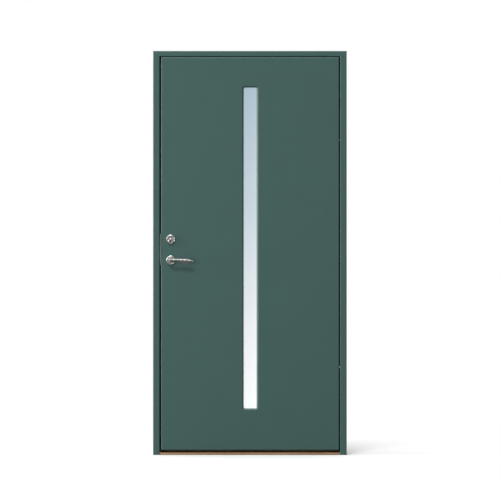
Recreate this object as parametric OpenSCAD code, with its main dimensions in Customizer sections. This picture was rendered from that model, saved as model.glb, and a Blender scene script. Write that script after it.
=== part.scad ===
// Front door in its frame: flush insulated leaf with a narrow glass slot, lever, lock and concealed hinges.
// X runs to the right seen from outside, Y into the building, Z up; the origin is under the threshold.

/* [Frame] */
// Overall width of the frame
frame_w = 996; // [790:1:1190]
// Overall height of the frame
frame_h = 2078; // [1880:1:2280]
// Depth of the frame, front to back
frame_d = 105; // [95:1:130]
// Width of a jamb seen from the front
jamb_face = 34; // [34:1:45]
// Height of the head seen from the front
head_face = 29; // [27:1:45]
// Width of the stop that the leaf closes on
stop_w = 15; // [14:1:20]
// Radius of the painted edges
edge_r = 4.5; // [1:0.5:4.5]
// Small radius that shows where the head sits on the jambs
joint_r = 0.8; // [0.4:0.1:1]

/* [Threshold] */
// Height of the oak nose at the front
sill_nose = 12; // [10:1:16]
// Height of the slope where it meets the upstand
sill_back = 16; // [16:1:20]
// Overlap of the upstand behind the leaf
sill_lap = 12; // [11:1:16]
// Flat part of the nose before the slope
sill_flat = 14; // [8:1:24]

/* [Leaf] */
// Thickness of the leaf
leaf_t = 62; // [62:1:68]
// Height of the leaf's lower edge
leaf_lift = 25; // [22:1:30]
// Gap on the lock side
lock_gap = 7.5; // [4.5:0.5:7.5]
// Gap on the hinge side
hinge_gap = 5; // [4:0.5:5]
// Gap under the head
head_gap = 3; // [3:0.5:6]
// Thickness of each skin
skin_t = 9; // [9:0.5:10]
// Width of the lock stile
lock_stile_w = 110; // [100:1:130]
// Width of the hinge stile
hinge_stile_w = 60; // [50:1:80]
// Height of the top rail
top_rail_h = 70; // [50:1:100]
// Height of the bottom rail
bottom_rail_h = 100; // [80:1:140]
// Width of the posts beside the glass
post_w = 30; // [20:1:40]

/* [Glass slot] */
// Width of the slot at the outer face
slot_w = 83; // [60:1:160]
// Distance from the leaf's lower edge to the slot
slot_foot = 206; // [180:1:600]
// Distance from the slot to the leaf's upper edge
slot_headroom = 148; // [110:1:400]
// Bevel around the slot
slot_bevel = 8; // [6:0.5:8]
// Corner radius of the slot at the outer face
slot_r = 14.5; // [12:0.5:20]
// Cover of the skin over the glass edge
glass_lap = 12; // [10:1:16]
// Clearance around the glass unit
glass_play = 3; // [2:0.5:5]
// Thickness of one pane
pane_t = 4; // [4:0.5:5]
// Thickness of the glazing tape
tape_t = 1; // [1:0.5:2]
// Distance that the inner bead stands proud
bead_t = 6; // [4:0.5:10]
// Flange of the bead around its opening
bead_flange = 29; // [20:1:40]

/* [Seals] */
// Distance from leaf to stop
seal_gap = 5; // [4:0.5:7]
// Distance from the stop's edge to the middle of the seal
seal_in = 5; // [5:0.5:6]
// Width of the seal's bulb
seal_w = 9; // [8:0.5:9]
// Width of the seal's groove
groove_w = 4; // [3:0.5:4]
// Depth of the seal's groove
groove_d = 7; // [5:0.5:8]

/* [Hinges] */
// Distance of the hinge axis behind the face
hinge_in = 2.5; // [2.5:0.5:4]
// Distance of the end hinges from the leaf's ends
hinge_end = 235; // [180:1:320]
// Inner radius of the hinge's curved link
link_r0 = 10; // [9:0.5:11]
// Outer radius of the hinge's curved link
link_r1 = 18; // [16:0.5:18]
// Half height of the link
link_h = 30; // [20:1:36]
// Clearance of the link in its tracks
link_play = 0.3; // [0.3:0.05:0.5]
// Angle where the link ends at rest
link_a = 20; // [20:1:30]
// Depth of a hinge case
case_deep = 25; // [24:1:27]
// Radius of a security pin
pin_r = 6; // [5:0.5:7]
// Clearance around a security pin in its socket
pin_play = 1.2; // [1:0.1:2]
// Reach of a security pin into the jamb
pin_reach = 6; // [4:0.5:7]

/* [Lock] */
// Height of the lever's axis
lever_z = 1001; // [940:1:1090]
// Distance from the leaf's edge to the lever's axis
backset = 50; // [50:1:55]
// Height of the key plug above the lever's axis
plug_up = 97; // [97:1:105]
// Height of the round cover above the plug
ring_up = 12; // [8:0.5:14]
// Thickness of the lock case
case_t = 15; // [15:0.5:18]
// Wall of the lock case
case_wall = 1.5; // [1:0.1:2]
// Depth of the lock case
case_d = 80; // [78:1:84]
// Turn of the lever
lever_turn = 40; // [36:1:42]
// Throw of the dead bolt
bolt_throw = 20; // [18:0.5:20]
// Height of the latch head
latch_h = 20; // [18:1:20]
// Distance that the latch stands out at rest
latch_out = 12; // [11:0.5:12]
// Clearance of a sliding bolt
slide_play = 0.4; // [0.3:0.1:0.5]
// Radial clearance of a turning hub
hub_play = 0.05; // [0.02:0.01:0.1]

/* [Handles] */
// Radius of the lever's rose
rose_r = 23.2; // [22:0.1:26]
// Thickness of a rose
rose_t = 9; // [8:0.5:12]
// Radius of the lever's neck
neck_r = 8; // [8:0.5:9]
// Length of the lever from its axis to the tip
lever_len = 122; // [105:1:140]
// Distance from the leaf to the back of the grip
grip_off = 40; // [38:1:50]
// Depth of the grip at the elbow
grip_d = 14; // [12:0.5:16]
// Height of the grip above the axis
grip_up = 8.5; // [8.5:0.1:10]
// Depth of the grip below the axis at the neck
grip_down = 8.2; // [8.2:0.1:10]
// Height of the ridge along the grip's front
ridge_up = 0.6; // [-1:0.1:2]
// Angle at which the grip's belly hangs
belly_a = 8.4; // [6:0.1:9]
// Radius of the belly at the tip
belly_r = 18; // [16:0.5:20]
// Length over which the top of the grip falls to the tip
fall_len = 50; // [40:1:56]
// Radius of the fall toward the tip
fall_r = 82; // [76:1:100]
// Radius of the elbow
elbow_r = 12; // [8:0.5:12]
// Side of the square spindle
spindle_s = 8; // [8:0.5:9]
// Radius of the round cylinder cover
ring_r = 22.3; // [21:0.1:26]
// Height of the round cylinder cover
ring_t = 10; // [8:0.5:14]

/* [Fixings] */
// Radius of a frame sleeve
sleeve_r = 8; // [7:0.5:9]
// Radius of the bore in a frame sleeve
sleeve_bore = 4.2; // [4:0.1:5]
// Distance of the outer sleeves from the frame's ends
sleeve_end = 139; // [130:1:200]
// Spacing of the inner sleeves
sleeve_mid = 800; // [700:1:900]
// Clearance between a screw and its hole
screw_play = 0.1; // [0.05:0.05:0.3]

/* [Hidden] */
$fn = 48;
over = 1;
eps = 0.01;
far = 60;
fit_play = 0.3;
paint = [0.27, 0.37, 0.36];
oak = [0.62, 0.47, 0.33];
steel = [0.72, 0.73, 0.73];
dark = [0.12, 0.12, 0.12];
wood = [0.80, 0.68, 0.50];
foam = [0.88, 0.86, 0.78];
glass = [0.82, 0.88, 0.90, 0.6];

half_w = frame_w / 2;
front_y = -frame_d / 2;
back_y = frame_d / 2;
leaf_back = front_y + leaf_t;
stop_y = leaf_back + seal_gap;
jamb_in = half_w - jamb_face;
stop_in = jamb_in - stop_w;
head_z = frame_h - head_face;
sill_top = leaf_lift + sill_lap;
seal_h = seal_gap - fit_play;

leaf_x0 = -jamb_in + lock_gap;
leaf_x1 = jamb_in - hinge_gap;
leaf_z0 = leaf_lift;
leaf_z1 = head_z - head_gap;
leaf_cx = (leaf_x0 + leaf_x1) / 2;
core_y0 = front_y + skin_t;
core_y1 = leaf_back - skin_t;
mid_y = (core_y0 + core_y1) / 2;
stile_x0 = leaf_x0 + lock_stile_w;
stile_x1 = leaf_x1 - hinge_stile_w;
rail_z0 = leaf_z0 + bottom_rail_h;
rail_z1 = leaf_z1 - top_rail_h;

slot_z0 = leaf_z0 + slot_foot;
slot_z1 = leaf_z1 - slot_headroom;
slot_cz = (slot_z0 + slot_z1) / 2;
slot_cx = slot_w / 2 - slot_r;
slot_hz = (slot_z1 - slot_z0) / 2 - slot_r;
slot_ri = slot_r - slot_bevel;
open_hx = slot_cx + slot_ri;
open_hz = slot_hz + slot_ri;
glass_hx = open_hx + glass_lap;
glass_hz = open_hz + glass_lap;
hole_hx = glass_hx + glass_play;
hole_hz = glass_hz + glass_play;
glass_y0 = core_y0 + tape_t;
bead_in = 2;
bead_y = leaf_back - skin_t - bead_in;
glass_y1 = bead_y - tape_t;
pane_pitch = (glass_y1 - glass_y0 - pane_t) / 2;
spacer_in = 3;
spacer_w = 8;
tape_in = 2;
tape_w = 9;
block_x = 25;
block_hw = 10;

hinge_x = jamb_in - hinge_gap / 2;
hinge_y = front_y + hinge_in;
hinge_zs = [leaf_z0 + hinge_end, (leaf_z0 + leaf_z1) / 2, leaf_z1 - hinge_end];
case_in = 1.5;
case_back = 4;
case_roof = 12;
case_y0 = hinge_y + case_in;
case_y1 = hinge_y + link_r1 + case_back;
case_h = link_h + case_roof;
plate_end = 20;
plate_h = case_h + plate_end;
plate_t = 3;
track_over = 4;
track_end = 100;
hinge_screw_end = 11;
hinge_screw_len = 24;
hinge_screw_z = case_h + hinge_screw_end;
hinge_screw_y = (case_y0 + case_y1) / 2;
pin_in = 10;
pin_up = 190;
pin_seat = 25;
pin_tip = 2;
pin_room = 4;
pin_free = 0.5;
pin_y = leaf_back - skin_t - pin_in;
pin_zs = [leaf_z0 + hinge_end + pin_up, leaf_z1 - hinge_end - pin_up];
pin_x0 = leaf_x1 - pin_seat;

axis_x = leaf_x0 + backset;
plug_z = lever_z + plug_up;
ring_z = plug_z + ring_up;
forend_t = 3;
forend_hw = 11;
lock_y0 = mid_y - case_t / 2;
lock_y1 = mid_y + case_t / 2;
lock_x0 = leaf_x0 + forend_t;
lock_x1 = lock_x0 + case_d;
lock_below = 43;
lock_above = 54;
forend_below = 16;
forend_above = 26;
forend_screw_low = 8;
forend_screw_high = 13;
forend_screw_len = 28;
lock_z0 = lever_z - lock_below;
lock_z1 = plug_z + lock_above;
forend_z0 = lock_z0 - forend_below;
forend_z1 = lock_z1 + forend_above;
bolt_side = 0.5;
bolt_y0 = lock_y0 + case_wall + bolt_side;
bolt_y1 = lock_y1 - case_wall - bolt_side;
tip_r = 2.5;
tip_play = 0.8;
shank = 2.8;
finger_side = 1;
finger_y0 = bolt_y0 + finger_side;
finger_y1 = bolt_y1 - finger_side;
finger_r = latch_out / (2 * sin(lever_turn / 2));
cam_turn = 90;
cam_r = bolt_throw / (2 * sin(cam_turn / 2));
finger_x = finger_r * sin(lever_turn / 2);
latch_z = lever_z + finger_r;
latch_z0 = latch_z - latch_h / 2;
latch_z1 = latch_z + latch_h / 2;
latch_step = 32;
latch_end = 15;
latch_tip = 1.4;
tail_drop = 4;
tail_z0 = latch_z - tail_drop;
notch_play = 0.8;
notch_hw = tip_r + notch_play;
bolt_drop = 9.5;
bolt_h = 20.5;
bolt_set = 0.5;
bolt_end = 13;
bolt_z1 = plug_z - bolt_drop;
bolt_z0 = bolt_z1 - bolt_h;
cam_x = bolt_throw / 2;
follower_r = 10;
cam_hub_r = 8;
hub_hole = 1;
spindle_hole = 2;
strike_t = 2;
strike_over = 2;
strike_play = 1.5;
strike_z0 = forend_z0 - strike_over;
strike_z1 = forend_z1 + strike_over;
strike_hw = 14;
strike_screw_end = 9;
strike_screw_gap = 14;
strike_screw_len = 25;
latch_room = 5.5;
bolt_room = 6.5;
latch_pocket = latch_out - lock_gap + latch_room;
bolt_pocket = bolt_throw - lock_gap + bolt_room;
rose_screw = 16;
rose_screw_short = 2;
rose_screw_len = leaf_back + rose_t - front_y - rose_screw_short;
rose_head_r = 3.4;
rose_round = 3;
rim_w = 3.4;
rose_dish = 1.2;
bore_round = 0.6;
post_short = 1;
post_r = 4;
screw_r = 2;
head_r = 3.8;
head_h = 2;
hole_over = 0.6;
socket_w = 0.8;
socket_d = 0.6;

guard_below = 23;
guard_above = 136;
guard_z0 = lever_z - guard_below;
guard_z1 = lever_z + guard_above;
guard_t = 1.5;
guard_leg = 16;
guard_leg_t = 2;
guard_lap = 1.5;
guard_free = 2;
guard_x0 = -jamb_in + guard_free;
guard_x1 = leaf_x0 + guard_lap;
guard_y = front_y - guard_t;
guard_round = 0.9;
guard_screw_end = 22;
guard_screw_len = 22;
guard_screw_in = 3.6;
guard_screw_y = core_y0 + guard_screw_in;
guard_head_r = 3.2;
guard_head_h = 1.6;
guard_screw_zs = [guard_z0 + guard_screw_end, (guard_z0 + guard_z1) / 2, guard_z1 - guard_screw_end];

barrel_r = 10.5;
barrel_up = 14;
plug_r = 7;
collar_r = 13.5;
collar_up = 1.5;
collar_t = ring_t + collar_up;
collar_round = 1.5;
collar_lip = 1.2;
ring_dish = 1;
ring_floor = 2;
plug_in = 4;
plug_stop = 2;
key_hw = 1.1;
key_d = 18;
key_low = 5;
key_high = 4.2;
tail_w = 6;
tail_t = 2;
tail_play = 0.8;
tail_in = 7;
tail_out = 6;
turn_rose_t = 8;
turn_free = 0.5;
turn_out = 24;
turn_hub_in = 6;
turn_hub_out = 2;
wing_w = 10;
wing_h = 40;

neck_lift = 0.5;
neck_in = 2;
neck_over = 0.7;
grip_over = 4;
grip_chamfer = 1.5;
top_d = 5.5;
low_d = 2.4;
ridge_hw = 1.2;
elbow_over = 0.4;
tip_back = 0.5;
tip_front = 1.5;
taper_from = 0.3;
belly_from = 0.3;
belly_x = lever_len - belly_r;
belly_z = (belly_r - grip_down) / cos(belly_a) - (belly_x - lever_len * belly_from) * tan(belly_a);
spindle_deep = 4;
spindle_short = 5;
grub_r = 2;
grub_in = 0.5;
grub_out = 6;

sleeve_y = mid_y;
sleeve_zs = [sleeve_end, (frame_h - sleeve_mid) / 2, (frame_h + sleeve_mid) / 2, frame_h - sleeve_end];
corner_in = 22;
corner_ys = [mid_y, back_y - corner_in];
corner_x = half_w - jamb_face / 2;
corner_len = 100;
corner_r = 3;
corner_head_r = 6;
sleeve_sink = 8;
sleeve_head = 2;

// A box between two limits on each axis
module span(x, y, z) {
    translate([x[0], y[0], z[0]]) cube([x[1] - x[0], y[1] - y[0], z[1] - z[0]]);
}

// A profile drawn in Y and Z, run along X
module run_x(x0, x1) {
    translate([x0, 0, 0]) rotate([90, 0, 90]) linear_extrude(x1 - x0) children();
}

// A profile drawn in X and Z, run along Y
module run_y(y0, y1) {
    translate([0, y1, 0]) rotate([90, 0, 0]) linear_extrude(y1 - y0) children();
}

// A profile drawn in X and Y, run along Z
module run_z(z0, z1) {
    translate([0, 0, z0]) linear_extrude(z1 - z0) children();
}

// A round bar along X
module rod_x(x0, x1, y, z, r) {
    translate([x0, y, z]) rotate([0, 90, 0]) cylinder(r = r, h = x1 - x0);
}

// A round bar along Y
module rod_y(y0, y1, x, z, r) {
    translate([x, y1, z]) rotate([90, 0, 0]) cylinder(r = r, h = y1 - y0);
}

// What is cut away to round a corner whose material lies toward sx, sy
module corner(px, py, sx, sy, r) {
    difference() {
        translate([sx > 0 ? px - over : px - r, sy > 0 ? py - over : py - r]) square([r + over, r + over]);
        translate([px + sx * r, py + sy * r]) circle(r);
    }
}

// A rectangle with round corners, given by its corner centres
module round_rect(cx, cz, r) {
    square([2 * (cx + r), 2 * cz], center = true);
    square([2 * cx, 2 * (cz + r)], center = true);
    for (sx = [-1, 1]) for (sz = [-1, 1]) translate([sx * cx, sz * cz]) circle(r);
}

// A countersunk screw that starts at a face and goes in along its own Z
module screw(len, r, hr, hh) {
    difference() {
        union() {
            cylinder(r1 = hr, r2 = r, h = hh);
            cylinder(r = r, h = len);
        }
        translate([0, 0, -over]) cylinder(r = r * socket_w, h = hh * socket_d + over, $fn = 6);
    }
}

// The hole for such a screw
module screw_hole(len, r, hr, hh) {
    translate([0, 0, -eps]) cylinder(r1 = hr + screw_play, r2 = r + screw_play, h = hh + eps);
    translate([0, 0, -eps]) cylinder(r = r + screw_play, h = len + hole_over);
}

// Section of the hinge jamb in X and Y
module jamb_section() {
    difference() {
        translate([jamb_in, front_y]) square([jamb_face, frame_d]);
        corner(jamb_in, front_y, 1, 1, edge_r);
        corner(half_w, front_y, -1, 1, edge_r);
    }
}

// Section of a stop, from its free edge, with the groove for the seal toward the leaf
module stop_section() {
    difference() {
        translate([0, stop_y]) square([stop_w, back_y - stop_y]);
        corner(0, back_y, 1, -1, edge_r);
        translate([seal_in - groove_w / 2, stop_y - over]) square([groove_w, groove_d + over]);
    }
}

// Section of a seal: stem in its groove, bulb toward the leaf
module seal_section() {
    translate([-groove_w / 2, 0]) square([groove_w, groove_d]);
    translate([-(seal_w - seal_h) / 2, -seal_h]) square([seal_w - seal_h, seal_h]);
    for (s = [-1, 1]) translate([s * (seal_w - seal_h) / 2, -seal_h / 2]) circle(seal_h / 2);
}

// Holes that the sleeves and corner screws need in a jamb on the hinge side
module jamb_holes() {
    for (z = sleeve_zs) rod_x(jamb_in - over, half_w + over, sleeve_y, z, sleeve_r + screw_play);
    for (y = corner_ys) translate([corner_x, y, frame_h]) rotate([180, 0, 0])
        screw_hole(corner_len, corner_r, corner_head_r, corner_r);
}

// Room for the latch on the frame side, between two limits along X
module latch_keep(x0, x1) {
    span([x0, x1], [bolt_y0 - strike_play, bolt_y1 + strike_play],
        [latch_z0 - strike_play, latch_z1 + strike_play]);
}

// Room for the dead bolt on the frame side, between two limits along X
module bolt_keep(x0, x1) {
    span([x0, x1], [bolt_y0 - strike_play, bolt_y1 + strike_play],
        [bolt_z0 - strike_play, bolt_z1 + strike_play]);
}

module lock_jamb() {
    color(paint) difference() {
        mirror([1, 0, 0]) run_z(0, head_z) jamb_section();
        mirror([1, 0, 0]) jamb_holes();
        span([-jamb_in - strike_t, -jamb_in + over], [mid_y - strike_hw, mid_y + strike_hw],
            [strike_z0, strike_z1]);
        latch_keep(-jamb_in - latch_pocket, -jamb_in);
        bolt_keep(-jamb_in - bolt_pocket, -jamb_in);
        strike_screw_places() screw_hole(strike_screw_len, screw_r, head_r, head_h);
    }
}

module hinge_jamb() {
    color(paint) difference() {
        run_z(0, head_z) jamb_section();
        jamb_holes();
        for (z = hinge_zs) translate([0, 0, z]) hinge_pocket();
        for (z = pin_zs) rod_x(jamb_in - over, jamb_in + pin_reach + pin_room, pin_y, z, pin_r + pin_play);
    }
}

module head() {
    color(paint) difference() {
        span([-half_w, half_w], [front_y, back_y], [head_z, frame_h]);
        run_x(-half_w - over, half_w + over) corner(front_y, frame_h, 1, -1, edge_r);
        run_x(-jamb_in, jamb_in) corner(front_y, head_z, 1, 1, edge_r);
        run_x(-half_w - over, half_w + over) corner(front_y, head_z, 1, 1, joint_r);
        for (s = [-1, 1]) run_z(head_z - over, frame_h + over) corner(s * half_w, front_y, -s, 1, edge_r);
        corner_screw_places() screw_hole(corner_len, corner_r, corner_head_r, corner_r);
    }
}

module frame_stops() {
    color(paint) {
        run_z(0, head_z) translate([stop_in, 0]) stop_section();
        mirror([1, 0, 0]) run_z(0, head_z) translate([stop_in, 0]) stop_section();
        run_x(-stop_in, stop_in) translate([0, head_z - stop_w]) mirror([1, -1]) stop_section();
    }
}

module threshold() {
    color(oak) difference() {
        run_x(-jamb_in, jamb_in) difference() {
            polygon([
                [front_y, 0], [back_y, 0], [back_y, sill_top], [stop_y, sill_top],
                [stop_y, sill_back], [front_y + sill_flat, sill_nose], [front_y, sill_nose]
            ]);
            corner(front_y, sill_nose, 1, -1, edge_r);
            corner(back_y, sill_top, -1, -1, edge_r);
            translate([stop_y - over, sill_top - seal_in - groove_w / 2]) square([groove_d + over, groove_w]);
        }
        span([stop_in, jamb_in + over], [stop_y, back_y + over], [-over, sill_top + over]);
        span([-jamb_in - over, -stop_in], [stop_y, back_y + over], [-over, sill_top + over]);
    }
}

module jamb_seals() {
    color(dark) {
        run_z(sill_back, head_z) translate([stop_in + seal_in, stop_y]) seal_section();
        run_z(sill_back, head_z) translate([-stop_in - seal_in, stop_y]) seal_section();
    }
}

module head_seal() {
    color(dark) run_x(-stop_in, stop_in)
        translate([stop_y, head_z - stop_w + seal_in]) rotate(-90) seal_section();
}

module threshold_seal() {
    color(dark) run_x(-stop_in, stop_in)
        translate([stop_y, sill_top - seal_in]) rotate(-90) seal_section();
}

// Places of the strike's screws, driven toward the wall
module strike_screw_places() {
    for (z = [strike_z0 + strike_screw_end, latch_z0 - strike_screw_gap, (latch_z1 + bolt_z0) / 2,
        strike_z1 - strike_screw_end])
        translate([-jamb_in, mid_y, z]) rotate([0, -90, 0]) children();
}

module strike_plate() {
    color(steel) difference() {
        span([-jamb_in - strike_t, -jamb_in], [mid_y - strike_hw, mid_y + strike_hw], [strike_z0, strike_z1]);
        latch_keep(-jamb_in - strike_t - over, -jamb_in + over);
        bolt_keep(-jamb_in - strike_t - over, -jamb_in + over);
        strike_screw_places() screw_hole(strike_screw_len, screw_r, head_r, head_h);
    }
}

module strike_screws() {
    color(steel) strike_screw_places() screw(strike_screw_len, screw_r, head_r, head_h);
}

module fixing_sleeves() {
    color(steel) for (s = [-1, 1]) for (z = sleeve_zs) mirror([s < 0 ? 1 : 0, 0, 0]) difference() {
        rod_x(jamb_in, half_w, sleeve_y, z, sleeve_r);
        rod_x(jamb_in - over, half_w + over, sleeve_y, z, sleeve_bore);
        rod_x(jamb_in - over, jamb_in + sleeve_sink, sleeve_y, z, sleeve_bore + sleeve_head);
    }
}

// Places of the screws that hold the head on the jambs
module corner_screw_places() {
    for (s = [-1, 1]) for (y = corner_ys)
        translate([s * corner_x, y, frame_h]) rotate([180, 0, 0]) children();
}

module corner_screws() {
    color(steel) corner_screw_places() screw(corner_len, corner_r, corner_head_r, corner_r);
}

// Wedge between two angles, drawn around the hinge axis
module wedge(a0, a1) {
    m = (a0 + a1) / 2;
    polygon([
        [0, 0], far * [cos(a0), sin(a0)], far * 1.5 * [cos(m), sin(m)], far * [cos(a1), sin(a1)]
    ]);
}

// Part of a ring between two angles, around the hinge axis
module ring_part(r0, r1, a0, a1) {
    intersection() {
        difference() {
            circle(r1);
            circle(r0);
        }
        wedge(a0, a1);
    }
}

// The hollow that a hinge case on the frame side needs
module hinge_pocket() {
    span([jamb_in - over, jamb_in + case_deep], [case_y0, case_y1], [-case_h, case_h]);
    span([jamb_in - over, jamb_in + plate_t], [case_y0, case_y1], [-plate_h, plate_h]);
    for (s = [-1, 1]) translate([jamb_in, hinge_screw_y, s * hinge_screw_z]) rotate([0, 90, 0])
        screw_hole(hinge_screw_len, screw_r, head_r, head_h);
}

// One hinge case on the frame side, around its own middle
module hinge_case() {
    difference() {
        union() {
            span([jamb_in, jamb_in + case_deep], [case_y0, case_y1], [-case_h, case_h]);
            span([jamb_in, jamb_in + plate_t], [case_y0, case_y1], [-plate_h, plate_h]);
        }
        translate([hinge_x, hinge_y, 0]) run_z(-link_h - link_play, link_h + link_play)
            ring_part(link_r0 - link_play, link_r1 + link_play, link_a - track_over, track_end);
        for (s = [-1, 1]) translate([jamb_in, hinge_screw_y, s * hinge_screw_z]) rotate([0, 90, 0])
            screw_hole(hinge_screw_len, screw_r, head_r, head_h);
    }
}

// Turns what is drawn on the frame side of the hinge axis to the leaf side
module to_leaf_side() {
    translate([2 * hinge_x, 0, 0]) mirror([1, 0, 0]) children();
}

module hinge_frame_cases() {
    color(steel) for (z = hinge_zs) translate([0, 0, z]) hinge_case();
}

module hinge_frame_screws() {
    color(steel) for (z = hinge_zs) for (s = [-1, 1])
        translate([jamb_in, hinge_screw_y, z + s * hinge_screw_z]) rotate([0, 90, 0])
            screw(hinge_screw_len, screw_r, head_r, head_h);
}

module hinge_leaf_cases() {
    color(steel) for (z = hinge_zs) translate([0, 0, z]) to_leaf_side() hinge_case();
}

module hinge_leaf_screws() {
    color(steel) for (z = hinge_zs) for (s = [-1, 1])
        translate([leaf_x1, hinge_screw_y, z + s * hinge_screw_z]) rotate([0, -90, 0])
            screw(hinge_screw_len, screw_r, head_r, head_h);
}

module hinge_links() {
    color(steel) for (z = hinge_zs) translate([hinge_x, hinge_y, z])
        run_z(-link_h, link_h) ring_part(link_r0, link_r1, link_a, 180 - link_a);
}

// The bevelled slot as a cutter through the outer skin
module slot_cutter() {
    ro = slot_r + over;
    translate([leaf_cx, 0, slot_cz]) {
        run_y(front_y + over, core_y0 + over) round_rect(slot_cx, slot_hz, slot_ri);
        for (sx = [-1, 1]) for (sz = [-1, 1]) translate([sx * slot_cx, front_y - over, sz * slot_hz])
            rotate([-90, 0, 0]) cylinder(r1 = ro, r2 = slot_ri, h = slot_bevel + over);
        run_z(-slot_hz, slot_hz) polygon([
            [-slot_cx - ro, front_y - over], [slot_cx + ro, front_y - over],
            [slot_cx + slot_ri, front_y + slot_bevel], [-slot_cx - slot_ri, front_y + slot_bevel]
        ]);
        run_x(-slot_cx, slot_cx) polygon([
            [front_y - over, -slot_hz - ro], [front_y - over, slot_hz + ro],
            [front_y + slot_bevel, slot_hz + slot_ri], [front_y + slot_bevel, -slot_hz - slot_ri]
        ]);
    }
}

// Outline of the cylinder's barrel, from the plug up over the pins
module barrel_outline(r) {
    translate([axis_x - r, plug_z]) square([2 * r, barrel_up]);
    translate([axis_x, plug_z]) circle(r);
    translate([axis_x, plug_z + barrel_up]) circle(r);
}

// Holes through the front half of the leaf for the fittings
module front_holes() {
    rod_y(front_y - over, lock_y0 + over, axis_x, lever_z, neck_r + spindle_hole);
    run_y(front_y - over, lock_y0 + over) barrel_outline(barrel_r + fit_play);
    for (s = [-1, 1])
        rod_y(front_y - over, lock_y0 + over, axis_x + s * rose_screw, lever_z, post_r + fit_play);
}

// Holes through the back half of the leaf for the fittings
module back_holes() {
    rod_y(lock_y1 - over, leaf_back + over, axis_x, lever_z, neck_r + spindle_hole);
    rod_y(lock_y1 - over, leaf_back + over, axis_x, plug_z, cam_hub_r + hub_hole);
    for (s = [-1, 1])
        rod_y(lock_y1 - over, leaf_back + over, axis_x + s * rose_screw, lever_z, screw_r + screw_play);
}

// Pockets for the hinge cases on the leaf side
module leaf_hinge_pockets() {
    for (z = hinge_zs) translate([0, 0, z]) to_leaf_side() hinge_pocket();
}

module outer_skin() {
    color(paint) difference() {
        span([leaf_x0, leaf_x1], [front_y, core_y0], [leaf_z0, leaf_z1]);
        run_z(leaf_z0 - over, leaf_z1 + over) corner(leaf_x0, front_y, 1, 1, edge_r);
        run_z(leaf_z0 - over, leaf_z1 + over) corner(leaf_x1, front_y, -1, 1, edge_r);
        run_x(leaf_x0 - over, leaf_x1 + over) corner(front_y, leaf_z0, 1, 1, edge_r);
        run_x(leaf_x0 - over, leaf_x1 + over) corner(front_y, leaf_z1, 1, -1, edge_r);
        slot_cutter();
        front_holes();
        leaf_hinge_pockets();
    }
}

module inner_skin() {
    color(paint) difference() {
        span([leaf_x0, leaf_x1], [core_y1, leaf_back], [leaf_z0, leaf_z1]);
        run_z(leaf_z0 - over, leaf_z1 + over) corner(leaf_x0, leaf_back, 1, -1, edge_r);
        run_z(leaf_z0 - over, leaf_z1 + over) corner(leaf_x1, leaf_back, -1, -1, edge_r);
        run_x(leaf_x0 - over, leaf_x1 + over) corner(leaf_back, leaf_z0, -1, 1, edge_r);
        run_x(leaf_x0 - over, leaf_x1 + over) corner(leaf_back, leaf_z1, -1, -1, edge_r);
        span([leaf_cx - hole_hx, leaf_cx + hole_hx], [core_y1 - over, leaf_back + over],
            [slot_cz - hole_hz, slot_cz + hole_hz]);
        back_holes();
    }
}

module lock_stile() {
    color(wood) difference() {
        span([leaf_x0, stile_x0], [core_y0, core_y1], [leaf_z0, leaf_z1]);
        span([leaf_x0 - over, lock_x0], [mid_y - forend_hw, mid_y + forend_hw], [forend_z0, forend_z1]);
        span([leaf_x0 - over, lock_x1], [lock_y0, lock_y1], [lock_z0, lock_z1]);
        front_holes();
        back_holes();
        forend_screw_places() screw_hole(forend_screw_len, screw_r, head_r, head_h);
        guard_screw_places() screw_hole(guard_screw_len, screw_r, guard_head_r, guard_head_h);
    }
}

module hinge_stile() {
    color(wood) difference() {
        span([stile_x1, leaf_x1], [core_y0, core_y1], [leaf_z0, leaf_z1]);
        leaf_hinge_pockets();
        for (z = pin_zs) rod_x(pin_x0 - pin_free, leaf_x1 + over, pin_y, z, pin_r + screw_play);
    }
}

module top_rail() {
    color(wood) span([stile_x0, stile_x1], [core_y0, core_y1], [rail_z1, leaf_z1]);
}

module bottom_rail() {
    color(wood) span([stile_x0, stile_x1], [core_y0, core_y1], [leaf_z0, rail_z0]);
}

module slot_post_lock() {
    color(wood) span([leaf_cx - hole_hx - post_w, leaf_cx - hole_hx], [core_y0, core_y1], [rail_z0, rail_z1]);
}

module slot_post_hinge() {
    color(wood) span([leaf_cx + hole_hx, leaf_cx + hole_hx + post_w], [core_y0, core_y1], [rail_z0, rail_z1]);
}

module slot_block_top() {
    color(wood) span([leaf_cx - hole_hx, leaf_cx + hole_hx], [core_y0, core_y1],
        [slot_cz + hole_hz, rail_z1]);
}

module slot_block_bottom() {
    color(wood) span([leaf_cx - hole_hx, leaf_cx + hole_hx], [core_y0, core_y1],
        [rail_z0, slot_cz - hole_hz]);
}

module core_lock() {
    color(foam) span([stile_x0, leaf_cx - hole_hx - post_w], [core_y0, core_y1], [rail_z0, rail_z1]);
}

module core_hinge() {
    color(foam) span([leaf_cx + hole_hx + post_w, stile_x1], [core_y0, core_y1], [rail_z0, rail_z1]);
}

// A pane of the glass unit, counted from outside
module pane(n) {
    y = glass_y0 + n * pane_pitch;
    span([leaf_cx - glass_hx, leaf_cx + glass_hx], [y, y + pane_t], [slot_cz - glass_hz, slot_cz + glass_hz]);
}

module outer_pane() {
    color(glass) pane(0);
}

module middle_pane() {
    color(glass) pane(1);
}

module inner_pane() {
    color(glass) pane(2);
}

// A flat frame around the glass between two depths
module glass_frame(y0, y1, inset, w) {
    hx = glass_hx - inset;
    hz = glass_hz - inset;
    translate([leaf_cx, 0, slot_cz]) difference() {
        span([-hx, hx], [y0, y1], [-hz, hz]);
        span([-hx + w, hx - w], [y0 - over, y1 + over], [-hz + w, hz - w]);
    }
}

module spacers() {
    color(dark) for (n = [0, 1])
        glass_frame(glass_y0 + n * pane_pitch + pane_t, glass_y0 + (n + 1) * pane_pitch, spacer_in, spacer_w);
}

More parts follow.
